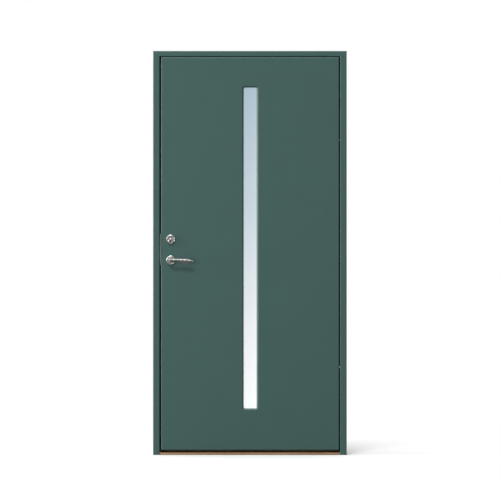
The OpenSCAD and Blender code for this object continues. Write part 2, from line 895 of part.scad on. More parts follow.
module glazing_tapes() {
    color(dark) {
        glass_frame(core_y0, glass_y0, tape_in, tape_w);
        glass_frame(glass_y1, bead_y, tape_in, tape_w);
    }
}

module setting_blocks() {
    color(dark) for (s = [-1, 1])
        span([leaf_cx + s * block_x - block_hw, leaf_cx + s * block_x + block_hw], [glass_y0, glass_y1],
            [slot_cz - hole_hz, slot_cz - glass_hz]);
}

module inner_bead() {
    hx = open_hx + bead_flange;
    hz = open_hz + bead_flange;
    color(paint) translate([leaf_cx, 0, slot_cz]) difference() {
        union() {
            span([-hx, hx], [leaf_back, leaf_back + bead_t], [-hz, hz]);
            span([-hole_hx, hole_hx], [bead_y, leaf_back + over], [-hole_hz, hole_hz]);
        }
        run_y(bead_y - over, leaf_back + bead_t + over) round_rect(slot_cx, slot_hz, slot_ri);
        run_z(-hz - over, hz + over) corner(-hx, leaf_back + bead_t, 1, -1, edge_r);
        run_z(-hz - over, hz + over) corner(hx, leaf_back + bead_t, -1, -1, edge_r);
        run_x(-hx - over, hx + over) corner(leaf_back + bead_t, -hz, -1, 1, edge_r);
        run_x(-hx - over, hx + over) corner(leaf_back + bead_t, hz, -1, -1, edge_r);
    }
}

// Places of the edge guard's screws, driven into the lock stile
module guard_screw_places() {
    for (z = guard_screw_zs)
        translate([leaf_x0 - guard_leg_t, guard_screw_y, z]) rotate([0, 90, 0]) children();
}

module edge_guard() {
    color(steel) difference() {
        union() {
            span([guard_x0, guard_x1], [guard_y, front_y], [guard_z0, guard_z1]);
            span([leaf_x0 - guard_leg_t, leaf_x0], [guard_y, front_y + guard_leg], [guard_z0, guard_z1]);
        }
        run_z(guard_z0 - over, guard_z1 + over) corner(guard_x0, guard_y, 1, 1, guard_round);
        run_z(guard_z0 - over, guard_z1 + over) corner(guard_x1, guard_y, -1, 1, guard_round);
        guard_screw_places() screw_hole(guard_screw_len, screw_r, guard_head_r, guard_head_h);
    }
}

module edge_guard_screws() {
    color(steel) guard_screw_places() screw(guard_screw_len, screw_r, guard_head_r, guard_head_h);
}

// Openings in the lock's edge for the latch and the dead bolt
module bolt_windows() {
    span([leaf_x0 - over, lock_x0 + case_wall + over], [bolt_y0 - slide_play, bolt_y1 + slide_play],
        [latch_z0 - slide_play, latch_z1 + slide_play]);
    span([leaf_x0 - over, lock_x0 + case_wall + over], [bolt_y0 - slide_play, bolt_y1 + slide_play],
        [bolt_z0 - slide_play, bolt_z1 + slide_play]);
}

// Bearings and screw holes through the lock case and its cover
module case_bores() {
    rod_y(lock_y0 - over, lock_y1 + over, axis_x, lever_z, follower_r);
    rod_y(lock_y0 - over, lock_y1 + over, axis_x, plug_z, cam_hub_r);
    for (s = [-1, 1])
        rod_y(lock_y0 - over, lock_y1 + over, axis_x + s * rose_screw, lever_z, screw_r + screw_play);
}

module lock_case() {
    w = case_wall;
    color(steel) difference() {
        span([lock_x0, lock_x1], [lock_y0, lock_y1 - w], [lock_z0, lock_z1]);
        span([lock_x0 + w, lock_x1 - w], [lock_y0 + w, lock_y1], [lock_z0 + w, lock_z1 - w]);
        bolt_windows();
        case_bores();
    }
}

module lock_cover() {
    color(steel) difference() {
        span([lock_x0, lock_x1], [lock_y1 - case_wall, lock_y1], [lock_z0, lock_z1]);
        case_bores();
    }
}

// Places of the forend's screws, driven into the lock stile
module forend_screw_places() {
    for (z = [forend_z0 + forend_screw_low, forend_z1 - forend_screw_high])
        translate([leaf_x0, mid_y, z]) rotate([0, 90, 0]) children();
}

module forend() {
    color(steel) difference() {
        span([leaf_x0, lock_x0], [mid_y - forend_hw, mid_y + forend_hw], [forend_z0, forend_z1]);
        bolt_windows();
        forend_screw_places() screw_hole(forend_screw_len, screw_r, head_r, head_h);
    }
}

module forend_screws() {
    color(steel) forend_screw_places() screw(forend_screw_len, screw_r, head_r, head_h);
}

// Half the section of a round cover with a rounded rim and a sunk face
module dished(r, t, dish) {
    difference() {
        square([r, t]);
        corner(r, t, -1, -1, rose_round);
        polygon([
            [0, t - dish], [r - rim_w - dish, t - dish], [r - rim_w, t], [r - rim_w, t + over], [0, t + over]
        ]);
    }
}

// A round rose of given radius, thickness and dish with a bore, standing on its own Z
module rose(r, t, bore, dish) {
    rotate_extrude() difference() {
        dished(r, t, dish);
        translate([0, -over]) square([bore, t + 2 * over]);
        corner(bore, t - dish, 1, -1, bore_round);
    }
}

// Puts what is drawn on its own Z on the outer face of the leaf
module on_front(x, z) {
    translate([x, front_y, z]) rotate([90, 0, 0]) children();
}

// Puts what is drawn on its own Z on the inner face of the leaf, mirrored front to back
module on_back(x, z) {
    translate([x, leaf_back, z]) mirror([0, 1, 0]) rotate([90, 0, 0]) children();
}

module outer_rose() {
    color(steel) union() {
        on_front(axis_x, lever_z) rose(rose_r, rose_t, neck_r + hub_play, rose_dish);
        for (s = [-1, 1]) difference() {
            rod_y(front_y - rose_t / 2, lock_y0 - post_short, axis_x + s * rose_screw, lever_z, post_r);
            rod_y(front_y - over, lock_y0, axis_x + s * rose_screw, lever_z, screw_r + screw_play);
        }
    }
}

module inner_rose() {
    color(steel) difference() {
        on_back(axis_x, lever_z) rose(rose_r, rose_t, neck_r + hub_play, 0);
        rose_screw_places() screw_hole(rose_screw_len, screw_r, rose_head_r, head_h);
    }
}

// Places of the rose screws, driven from inside toward the front
module rose_screw_places() {
    for (s = [-1, 1])
        translate([axis_x + s * rose_screw, leaf_back + rose_t, lever_z]) rotate([90, 0, 0]) children();
}

module rose_screws() {
    color(steel) rose_screw_places() screw(rose_screw_len, screw_r, rose_head_r, head_h);
}

module cylinder_ring() {
    color(steel) difference() {
        union() {
            on_front(axis_x, ring_z) rotate_extrude() dished(ring_r, ring_t, ring_dish);
            on_front(axis_x, plug_z) rotate_extrude() difference() {
                square([collar_r, collar_t]);
                corner(collar_r, collar_t, -1, -1, collar_round);
            }
        }
        run_y(front_y - ring_t + ring_floor, front_y + over) barrel_outline(barrel_r + fit_play);
        rod_y(front_y - collar_t - over, front_y, axis_x, plug_z, barrel_r - collar_lip);
    }
}

module cylinder_body() {
    color(steel) difference() {
        run_y(front_y - ring_t + ring_floor + fit_play, lock_y0) barrel_outline(barrel_r);
        rod_y(front_y - ring_t, lock_y0 - plug_stop, axis_x, plug_z, plug_r + hub_play);
        rod_y(front_y, lock_y0 + over, axis_x, plug_z, tail_w / 2 + tail_play);
    }
}

module thumbturn_rose() {
    color(steel) on_back(axis_x, plug_z) rose(rose_r, turn_rose_t, cam_hub_r + hub_play, rose_dish);
}

module security_pins() {
    color(steel) for (z = pin_zs) {
        rod_x(pin_x0, jamb_in + pin_reach - pin_tip, pin_y, z, pin_r);
        translate([jamb_in + pin_reach - pin_tip, pin_y, z]) rotate([0, 90, 0])
            cylinder(r1 = pin_r, r2 = pin_r - pin_tip, h = pin_tip);
    }
}

// Section of the grip in height and depth: a ridge in front, a bright slope above it and a dark one below
module grip_section() {
    translate([0, grip_off]) polygon([
        [grip_up - grip_chamfer, 0], [grip_up, grip_chamfer], [grip_up, top_d],
        [ridge_up + ridge_hw, grip_d], [ridge_up - ridge_hw, grip_d],
        [-grip_down, low_d], [grip_chamfer - grip_down, 0]
    ]);
}

// Straight run of the grip's section along X
module grip_bar(x0, x1) {
    translate([x0, 0, 0]) rotate([90, 0, 90]) linear_extrude(x1 - x0) grip_section();
}

// Outline of the grip from the front: round at the neck, falling back and round belly at the tip
module grip_front() {
    intersection() {
        union() {
            circle(neck_r + neck_over);
            translate([0, -far]) square([lever_len + far, 2 * far]);
        }
        union() {
            translate([-far, -far]) square([lever_len - fall_len + far, 2 * far]);
            translate([lever_len - fall_len, grip_up - fall_r]) circle(fall_r);
        }
        union() {
            translate([-far, -far]) square([belly_x + far, 2 * far]);
            translate([belly_x, belly_z]) circle(belly_r);
        }
    }
}

// Outline of the grip from above: round elbow, thinner toward the tip
module grip_top() {
    x0 = -neck_r - elbow_over;
    x1 = lever_len + over;
    difference() {
        polygon([
            [x0, grip_off], [x1, grip_off + tip_back], [x1, grip_off + grip_d - tip_front],
            [lever_len * taper_from, grip_off + grip_d], [x0, grip_off + grip_d]
        ]);
        corner(x0, grip_off + grip_d, 1, -1, elbow_r);
    }
}

// A lever standing on its own Z, with its grip along X
module lever() {
    difference() {
        union() {
            translate([0, 0, neck_lift]) cylinder(r = neck_r, h = grip_off + neck_in);
            intersection() {
                union() {
                    grip_bar(-neck_r - grip_over, lever_len);
                    translate([lever_len * belly_from, 0, 0]) rotate([0, 0, -belly_a])
                        grip_bar(0, lever_len * (1 - belly_from));
                }
                translate([0, 0, grip_off - over]) linear_extrude(grip_d + 2 * over) grip_front();
                translate([0, far, 0]) rotate([90, 0, 0]) linear_extrude(2 * far) grip_top();
            }
        }
        translate([-spindle_s / 2, -spindle_s / 2, -over])
            cube([spindle_s, spindle_s, grip_off - spindle_deep + over]);
        translate([0, -neck_r - over, rose_t + grub_out]) rotate([-90, 0, 0])
            cylinder(r = grub_r + screw_play, h = neck_r);
    }
}

module outer_lever() {
    color(steel) on_front(axis_x, lever_z) lever();
}

module inner_lever() {
    color(steel) on_back(axis_x, lever_z) lever();
}

module spindle() {
    color(steel) span([axis_x - spindle_s / 2, axis_x + spindle_s / 2],
        [front_y - grip_off + spindle_short, leaf_back + grip_off - spindle_short],
        [lever_z - spindle_s / 2, lever_z + spindle_s / 2]);
}

module grub_screws() {
    color(dark) for (y = [front_y - rose_t - grub_out, leaf_back + rose_t + grub_out])
        translate([axis_x, y, lever_z - neck_r + grub_in])
            cylinder(r = grub_r, h = neck_r - spindle_s / 2 - grub_in);
}

module follower() {
    color(steel) difference() {
        union() {
            rod_y(lock_y0, lock_y1, axis_x, lever_z, follower_r - hub_play);
            translate([axis_x, 0, lever_z]) run_y(finger_y0, finger_y1) rotate(lever_turn / 2) {
                translate([-shank / 2, 0]) square([shank, finger_r]);
                translate([0, finger_r]) circle(tip_r);
            }
        }
        span([axis_x - spindle_s / 2, axis_x + spindle_s / 2], [lock_y0 - over, lock_y1 + over],
            [lever_z - spindle_s / 2, lever_z + spindle_s / 2]);
    }
}

module latch_bolt() {
    nose = leaf_x0 - latch_out;
    step = axis_x - latch_step;
    end = axis_x + latch_end;
    color(steel) difference() {
        union() {
            span([nose, step], [bolt_y0, bolt_y1], [latch_z0, latch_z1]);
            span([step - over, end], [bolt_y0, bolt_y1], [tail_z0, latch_z1]);
        }
        run_z(latch_z0 - over, latch_z1 + over) polygon([
            [leaf_x0, bolt_y1], [nose - over, bolt_y0 + latch_tip], [nose - over, bolt_y1 + over],
            [leaf_x0, bolt_y1 + over]
        ]);
        span([axis_x - finger_x - notch_hw, axis_x - finger_x + notch_hw], [bolt_y0 - over, bolt_y1 + over],
            [tail_z0 - over, latch_z + tip_r + tip_play]);
    }
}

module cylinder_plug() {
    face = front_y - ring_t + plug_in;
    color(steel) difference() {
        rod_y(face, lock_y0 - plug_stop - fit_play, axis_x, plug_z, plug_r);
        span([axis_x - key_hw, axis_x + key_hw], [face - over, face + key_d],
            [plug_z - key_low, plug_z + key_high]);
        span([axis_x - tail_t / 2, axis_x + tail_t / 2], [lock_y0 - tail_in, lock_y0],
            [plug_z - tail_w / 2, plug_z + tail_w / 2]);
    }
}

module tailpiece() {
    color(steel) span([axis_x - tail_t / 2, axis_x + tail_t / 2],
        [lock_y0 - tail_in, leaf_back + turn_rose_t + tail_out],
        [plug_z - tail_w / 2, plug_z + tail_w / 2]);
}

module bolt_cam() {
    color(steel) difference() {
        union() {
            rod_y(lock_y0, lock_y1, axis_x, plug_z, cam_hub_r - hub_play);
            translate([axis_x, 0, plug_z]) run_y(finger_y0, finger_y1) rotate(cam_turn / 2) {
                translate([-shank / 2, -cam_r]) square([shank, cam_r]);
                translate([0, -cam_r]) circle(tip_r);
            }
        }
        span([axis_x - tail_t / 2, axis_x + tail_t / 2], [lock_y0 - over, lock_y1 + over],
            [plug_z - tail_w / 2, plug_z + tail_w / 2]);
    }
}

module thumb_turn() {
    color(steel) difference() {
        on_back(axis_x, plug_z) union() {
            translate([0, 0, -turn_hub_in])
                cylinder(r = cam_hub_r, h = turn_hub_in + turn_rose_t + turn_hub_out);
            translate([0, 0, turn_rose_t + turn_free]) linear_extrude(turn_out) {
                square([wing_w, wing_h - wing_w], center = true);
                for (s = [-1, 1]) translate([0, s * (wing_h - wing_w) / 2]) circle(wing_w / 2);
            }
        }
        span([axis_x - tail_t / 2, axis_x + tail_t / 2], [core_y1 - over, leaf_back + turn_rose_t + tail_out],
            [plug_z - tail_w / 2, plug_z + tail_w / 2]);
    }
}

module dead_bolt() {
    nose = leaf_x0 + bolt_set;
    end = axis_x + cam_x + bolt_end;
    color(steel) difference() {
        span([nose, end], [bolt_y0, bolt_y1], [bolt_z0, bolt_z1]);
        span([axis_x + cam_x - notch_hw, axis_x + cam_x + notch_hw], [bolt_y0 - over, bolt_y1 + over],
            [plug_z - cam_r - tip_r - tip_play, bolt_z1 + over]);
    }
}

lock_jamb();
hinge_jamb();
head();
frame_stops();
threshold();
jamb_seals();
head_seal();
threshold_seal();
strike_plate();
strike_screws();
fixing_sleeves();
corner_screws();
hinge_frame_cases();
hinge_frame_screws();
outer_skin();
inner_skin();
lock_stile();
hinge_stile();
top_rail();
bottom_rail();
slot_post_lock();
slot_post_hinge();
slot_block_top();
slot_block_bottom();
core_lock();
core_hinge();
outer_pane();
middle_pane();
inner_pane();
spacers();
glazing_tapes();
setting_blocks();
inner_bead();
edge_guard();
edge_guard_screws();
lock_case();
lock_cover();
forend();
forend_screws();
outer_rose();
inner_rose();
rose_screws();
cylinder_ring();
cylinder_body();
thumbturn_rose();
security_pins();
hinge_leaf_cases();
hinge_leaf_screws();
hinge_links();
outer_lever();
inner_lever();
spindle();
follower();
grub_screws();
latch_bolt();
cylinder_plug();
tailpiece();
bolt_cam();
thumb_turn();
dead_bolt();
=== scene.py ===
"""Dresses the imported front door: finishes, modelled levers and covers, studio light and camera."""

import logging
import math
from dataclasses import dataclass
from enum import Enum

import bpy
import numpy as np
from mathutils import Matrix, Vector


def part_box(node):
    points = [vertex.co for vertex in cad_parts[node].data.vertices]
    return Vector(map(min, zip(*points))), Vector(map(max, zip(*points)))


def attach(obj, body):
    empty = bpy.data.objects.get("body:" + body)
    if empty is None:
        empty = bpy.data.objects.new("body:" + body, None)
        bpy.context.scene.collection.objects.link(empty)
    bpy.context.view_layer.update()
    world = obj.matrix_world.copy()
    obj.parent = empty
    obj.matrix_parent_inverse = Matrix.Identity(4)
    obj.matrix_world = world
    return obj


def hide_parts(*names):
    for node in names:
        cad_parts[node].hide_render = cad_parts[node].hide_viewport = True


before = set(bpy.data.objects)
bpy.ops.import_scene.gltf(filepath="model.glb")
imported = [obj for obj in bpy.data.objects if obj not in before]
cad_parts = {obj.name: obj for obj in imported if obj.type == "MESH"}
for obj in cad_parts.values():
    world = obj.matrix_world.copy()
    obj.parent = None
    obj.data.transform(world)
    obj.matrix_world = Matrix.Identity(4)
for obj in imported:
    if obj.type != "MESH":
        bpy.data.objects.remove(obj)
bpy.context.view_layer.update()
LOG = logging.getLogger("front_door")

Array = np.ndarray
Colour = tuple[float, float, float, float]
Triple = tuple[float, float, float]
Span = tuple[float, float]
Cuts = tuple[float, ...]
Outputs = bpy.types.NodeOutputs
Stops = tuple[tuple[float, Colour], ...]
Socket = bpy.types.NodeSocket
Node = bpy.types.Node
Tree = bpy.types.NodeTree
Material = bpy.types.Material
Piece = bpy.types.Object
Given = Socket | float | Triple | Colour
Inputs = dict[str | int, Given]

FULL_TURN = 2.0 * math.pi
QUARTER_TURN = math.pi / 2
SHARP_ANGLE = math.radians(40.0)
TINY = 1e-6
GLASS_IOR = 1.45
PEEL_SPAN: Span = (0.5, 1.1)
# Places of a colour mix's share and its two colours, and of the mixed colour.
MIX_INPUTS = (0, 6, 7)
MIX_RESULT = 2
UPRIGHT_LINES: Triple = (1800.0, 1800.0, 90.0)
EVEN_LINES: Triple = (500.0, 500.0, 500.0)


class Slot(Enum):
    """The finishes: the record's material slots, then three that some pieces show in place of theirs."""

    PAINT = "green_paint"
    OAK = "oiled_oak"
    TIMBER = "raw_timber"
    FOAM = "insulation"
    RUBBER = "black_rubber"
    GLASS = "frosted_glass"
    SPACER = "dark_spacer"
    CHROME = "satin_chrome"
    BRASS = "plated_brass"
    STEEL = "brushed_steel"
    ZINC = "zinc_steel"
    CLEAR = "clear_glass"
    DULL = "dull_steel"
    BLACK = "black_steel"


Looks = tuple[tuple[Slot, tuple[str, ...]], ...]


class Face(Enum):
    """The two faces of the leaf, by the way that a fitting stands out from them along Y."""

    OUTER = -1.0
    INNER = 1.0


def srgb(red: float, green: float, blue: float) -> Colour:
    """Gives the linear colour, with full alpha, of an sRGB colour written in steps of 0 to 255."""
    step = np.array([red, green, blue]) / 255.0
    return (*np.where(step <= 0.04045, step / 12.92, ((step + 0.055) / 1.055) ** 2.4).tolist(), 1.0)


def grey(level: float) -> Colour:
    """Gives a neutral colour of a linear level."""
    return (level, level, level, 1.0)


class Graph:
    """A node tree with short calls to add and join its nodes."""

    def __init__(self, tree: Tree) -> None:
        """Takes the tree to add to."""
        self.tree = tree

    def feed(self, node: Node, inputs: Inputs) -> None:
        """Gives a node its inputs, sockets by links and plain values as they are.

        Args:
            node: The node.
            inputs: Sockets and values by the input's name or place.
        """
        for key, value in inputs.items():
            if isinstance(value, Socket):
                self.tree.links.new(value, node.inputs[key])
            else:
                node.inputs[key].default_value = value

    def add(self, kind: str, inputs: Inputs | None = None, **settings: object) -> Node:
        """Adds a node.

        Args:
            kind: The shader node's type name, without its common start.
            inputs: Sockets and values by the input's name or place.
            **settings: Properties to set on the node.

        Returns:
            The new node.
        """
        node = self.tree.nodes.new(f"ShaderNode{kind}")
        for name, value in settings.items():
            setattr(node, name, value)
        self.feed(node, inputs or {})
        return node

    def place(self) -> Socket:
        """Gives the object's own coordinates."""
        return self.add("TexCoord").outputs["Object"]

    def stretched(self, stretch: Socket) -> Socket:
        """Gives the object's own coordinates times a stretch, each axis by its own."""
        both = {0: self.place(), 1: stretch}
        return self.add("VectorMath", both, operation="MULTIPLY").outputs["Vector"]

    def part(self, vector: Socket, axis: str) -> Socket:
        """Gives a vector's part along X, Y or Z."""
        return self.add("SeparateXYZ", {"Vector": vector}).outputs[axis]

    def noise(self, vector: Socket, scale: Socket | float, detail: float) -> Socket:
        """Gives a noise on coordinates, of a scale in waves per metre and a detail in octaves."""
        inputs = {"Vector": vector, "Scale": scale, "Detail": detail}
        return self.add("TexNoise", inputs).outputs["Fac"]

    def spread(self, value: Socket, low: float, high: float, start: float = 0.3, end: float = 0.7) -> Socket:
        """Maps a value from the range of start to end to the range of low to high and holds it inside."""
        inputs = {"Value": value, "From Min": start, "From Max": end, "To Min": low, "To Max": high}
        return self.add("MapRange", inputs).outputs["Result"]

    def sheen(self, height: Socket, middle: float, swing: float) -> Socket:
        """Gives a roughness that swings about a middle with the peel effect's height."""
        return self.spread(height, middle - swing, middle + swing, *PEEL_SPAN)

    def mix(self, share: Socket, first: Socket | Colour, second: Socket | Colour) -> Socket:
        """Mixes two colours by a share, whose zero gives the first and whose one gives the second."""
        inputs = dict(zip(MIX_INPUTS, (share, first, second)))
        return self.add("Mix", inputs, data_type="RGBA").outputs[MIX_RESULT]

    def maths(self, operation: str, first: Socket, second: Socket | float) -> Socket:
        """Works out one named step on two values."""
        return self.add("Math", {0: first, 1: second}, operation=operation).outputs["Value"]

    def group(self, tree: Tree, inputs: Inputs) -> Outputs:
        """Places a shared effect with its inputs and gives its outputs."""
        return self.add("Group", inputs, node_tree=tree).outputs

    def ramp(self, value: Socket, stops: Stops) -> Socket:
        """Turns a value into a colour by stops.

        Args:
            value: Value from zero to one.
            stops: Places and colours, from first to last.

        Returns:
            The colour's socket.
        """
        node = self.add("ValToRGB", {"Fac": value})
        band = node.color_ramp
        while len(band.elements) < len(stops):
            band.elements.new(0.5)
        for element, (place, colour) in zip(band.elements, stops):
            element.position = place
            element.color = colour
        return node.outputs["Color"]

    def bump(self, height: Socket, depth: float, strength: float) -> Socket:
        """Gives the normal of a bump whose height of one has a depth in metres, shown by its strength."""
        inputs = {"Height": height, "Distance": depth, "Strength": strength}
        return self.add("Bump", inputs).outputs["Normal"]


class Effects:
    """The surface effects that several finishes share, as node groups made once."""

    mottle: Tree
    peel: Tree
    brushed: Tree
    dust: Tree
    grain: Tree
    cloud_detail: float = 4.0
    coarse_scale: float = 60.0
    coarse_share: float = 0.6
    line_detail: float = 3.0
    patch_scale: float = 55.0
    dust_lean: Span = (0.7, 1.0)
    dust_least: float = 0.3
    dust_scale: float = 90.0
    dust_detail: float = 5.0
    ring_scale: float = 1.1
    ring_bend: float = 5.0
    ring_detail: float = 3.0
    ring_detail_scale: float = 0.9
    pore_scale: float = 9.0
    pore_detail: float = 4.0

    def __init__(self) -> None:
        """Builds the groups."""
        self._mottle()
        self._peel()
        self._brushed()
        self._dust()
        self._grain()

    @staticmethod
    def _start(name: str, inputs: dict[str, str], outputs: dict[str, str]) -> tuple[Graph, Outputs, Node]:
        """Starts a node group with its sockets.

        Args:
            name: The group's name.
            inputs: Kinds of the inputs by name.
            outputs: Kinds of the outputs by name.

        Returns:
            The graph, what its input node gives, and its output node.
        """
        tree = bpy.data.node_groups.new(name, "ShaderNodeTree")
        for way, sockets in (("INPUT", inputs), ("OUTPUT", outputs)):
            for label, kind in sockets.items():
                tree.interface.new_socket(label, in_out=way, socket_type=f"NodeSocket{kind}")
        return Graph(tree), tree.nodes.new("NodeGroupInput").outputs, tree.nodes.new("NodeGroupOutput")

    def _mottle(self) -> None:
        """Makes a colour a little lighter and darker in clouds: the colour times one plus a noise."""
        graph, given, result = self._start(
            "colour_mottle", {"Colour": "Color", "Scale": "Float", "Amount": "Float"}, {"Colour": "Color"}
        )
        cloud = graph.noise(graph.place(), given["Scale"], self.cloud_detail)
        share = graph.maths("MULTIPLY", graph.spread(cloud, -1.0, 1.0), given["Amount"])
        factors = {0: given["Colour"], "Scale": graph.maths("ADD", share, 1.0)}
        scaled = graph.add("VectorMath", factors, operation="SCALE")
        graph.feed(result, {"Colour": scaled.outputs["Vector"]})
        self.mottle = graph.tree

    def _peel(self) -> None:
        """Makes the soft waves of sprayed paint: a fine noise with a coarser one under it."""
        graph, given, result = self._start("paint_peel", {"Scale": "Float"}, {"Height": "Float"})
        fine = graph.noise(graph.place(), given["Scale"], 1.0)
        coarse = graph.noise(graph.place(), self.coarse_scale, 1.0)
        under = graph.maths("MULTIPLY", coarse, self.coarse_share)
        graph.feed(result, {"Height": graph.maths("ADD", fine, under)})
        self.peel = graph.tree

    def _brushed(self) -> None:
        """Makes fine drawn lines: a noise on coordinates that are stretched along the brushing."""
        graph, given, result = self._start(
            "brushed_lines", {"Stretch": "Vector"}, {"Lines": "Float", "Patches": "Float"}
        )
        lines = graph.noise(graph.stretched(given["Stretch"]), 1.0, self.line_detail)
        patches = graph.noise(graph.place(), self.patch_scale, self.line_detail)
        graph.feed(result, {"Lines": lines, "Patches": patches})
        self.brushed = graph.tree

    def _dust(self) -> None:
        """Makes a mask of thin dust on faces that look up: the normal's height times a noise."""
        graph, given, result = self._start("settled_dust", {"Amount": "Float"}, {"Mask": "Float"})
        normal = graph.add("NewGeometry").outputs["Normal"]
        upward = graph.spread(graph.part(normal, "Z"), 0.0, 1.0, *self.dust_lean)
        patchy = graph.noise(graph.place(), self.dust_scale, self.dust_detail)
        mask = graph.maths("MULTIPLY", upward, graph.spread(patchy, self.dust_least, 1.0))
        graph.feed(result, {"Mask": graph.maths("MULTIPLY", mask, given["Amount"])})
        self.dust = graph.tree

    def _grain(self) -> None:
        """Makes wood: year rings as bent bands, and pores as short dashes, both drawn out along the grain."""
        graph, given, result = self._start(
            "wood_grain", {"Stretch": "Vector"}, {"Rings": "Float", "Pores": "Float"}
        )
        drawn = graph.stretched(given["Stretch"])
        bands = graph.add("TexWave", wave_type="BANDS", bands_direction="Y", wave_profile="SAW")
        graph.feed(bands, {"Vector": drawn, "Scale": self.ring_scale, "Distortion": self.ring_bend})
        graph.feed(bands, {"Detail": self.ring_detail, "Detail Scale": self.ring_detail_scale})
        pores = graph.noise(drawn, self.pore_scale, self.pore_detail)
        graph.feed(result, {"Rings": bands.outputs["Fac"], "Pores": pores})
        self.grain = graph.tree


def blank(name: str) -> tuple[Material, Graph, Node]:
    """Starts a material with one Principled shader.

    Args:
        name: The material's name.

    Returns:
        The material, its graph and its shader.
    """
    material = bpy.data.materials.new(name)
    material.use_nodes = True
    shader = next(n for n in material.node_tree.nodes if n.type == "BSDF_PRINCIPLED")
    return material, Graph(material.node_tree), shader


@dataclass(frozen=True)
class Finish:
    """A named finish: what goes into its Principled shader."""

    name: str

    def inputs(self, graph: Graph, effects: Effects) -> Inputs:
        """Gives the shader's inputs by name, made in a material's graph from the shared effects."""
        raise NotImplementedError

    def material(self, effects: Effects) -> Material:
        """Makes the finish's material.

        Args:
            effects: The shared effects.

        Returns:
            The material.
        """
        material, graph, shader = blank(self.name)
        graph.feed(shader, self.inputs(graph, effects))
        return material


@dataclass(frozen=True)
class Moulded(Finish):
    """Moulded rubber, plastic or foam: matt, faint clouds, finely pitted, a little dusty on what looks up."""

    colour: Colour
    roughness: float = 0.6
    relief_scale: float = 900.0
    relief_depth: float = 0.00004
    cloud: float = 0.06
    dust: float = 0.15
    dust_colour: Colour = srgb(128, 126, 120)
    cloud_scale: float = 60.0
    swing: float = 0.06
    show: float = 0.7
    gloss: float = 0.5

    def inputs(self, graph: Graph, effects: Effects) -> Inputs:
        """Gives the moulded surface's inputs.

        Args:
            graph: The material's graph.
            effects: The shared effects.

        Returns:
            The shader's inputs by name.
        """
        clouds = {"Colour": self.colour, "Scale": self.cloud_scale, "Amount": self.cloud}
        tone = graph.group(effects.mottle, clouds)["Colour"]
        mask = graph.group(effects.dust, {"Amount": self.dust})["Mask"]
        relief = graph.group(effects.peel, {"Scale": self.relief_scale})["Height"]
        return {
            "Base Color": graph.mix(mask, tone, self.dust_colour),
            "Roughness": graph.sheen(relief, self.roughness, self.swing),
            "Normal": graph.bump(relief, self.relief_depth, self.show),
            "Specular IOR Level": self.gloss,
        }


@dataclass(frozen=True)
class SatinPaint(Moulded):
    """Sprayed satin paint: the moulded finish with soft waves in place of its pits."""

    roughness: float = 0.33
    relief_scale: float = 420.0
    relief_depth: float = 0.00003
    cloud: float = 0.015
    dust: float = 0.1
    dust_colour: Colour = srgb(150, 150, 144)
    cloud_scale: float = 7.0
    swing: float = 0.03
    show: float = 0.6
    gloss: float = 0.45


@dataclass(frozen=True)
class Wood(Finish):
    """Wood with year rings and pores along its grain."""

    early: Colour
    late: Colour
    pore: Colour
    stretch: Triple
    depth: float = 0.00012
    show: float = 0.7
    ring_span: Span = (0.1, 0.95)
    pore_share: float = 0.7
    pore_span: Span = (0.3, 0.45)
    rough_span: Span = (0.62, 0.45)

    def inputs(self, graph: Graph, effects: Effects) -> Inputs:
        """Gives the wooden surface's inputs.

        Args:
            graph: The material's graph.
            effects: The shared effects.

        Returns:
            The shader's inputs by name.
        """
        grain = graph.group(effects.grain, {"Stretch": self.stretch})
        rings = graph.mix(graph.spread(grain["Rings"], 0.0, 1.0, *self.ring_span), self.early, self.late)
        pores = graph.spread(grain["Pores"], self.pore_share, 0.0, *self.pore_span)
        return {
            "Base Color": graph.mix(pores, rings, self.pore),
            "Roughness": graph.spread(grain["Pores"], *self.rough_span),
            "Normal": graph.bump(grain["Pores"], self.depth, self.show),
        }


@dataclass(frozen=True)
class Metal(Finish):
    """Metal with fine drawn lines and faint patches."""

    colour: Colour
    roughness: float
    stretch: Triple = (160.0, 1800.0, 1800.0)
    swing: float = 0.05
    depth: float = 0.000004
    show: float = 0.5
    cloud: float = 0.03
    cloud_scale: float = 40.0
    line_share: float = 0.7
    patch_share: float = 0.3

    def inputs(self, graph: Graph, effects: Effects) -> Inputs:
        """Gives the metal surface's inputs.

        Args:
            graph: The material's graph.
            effects: The shared effects.

        Returns:
            The shader's inputs by name.
        """
        clouds = {"Colour": self.colour, "Scale": self.cloud_scale, "Amount": self.cloud}
        drawn = graph.group(effects.brushed, {"Stretch": self.stretch})
        lines = graph.maths("MULTIPLY", drawn["Lines"], self.line_share)
        patches = graph.maths("MULTIPLY", drawn["Patches"], self.patch_share)
        both = graph.maths("ADD", lines, patches)
        return {
            "Base Color": graph.group(effects.mottle, clouds)["Colour"],
            "Roughness": graph.spread(both, self.roughness - self.swing, self.roughness + self.swing),
            "Normal": graph.bump(drawn["Lines"], self.depth, self.show),
            "Metallic": 1.0,
        }


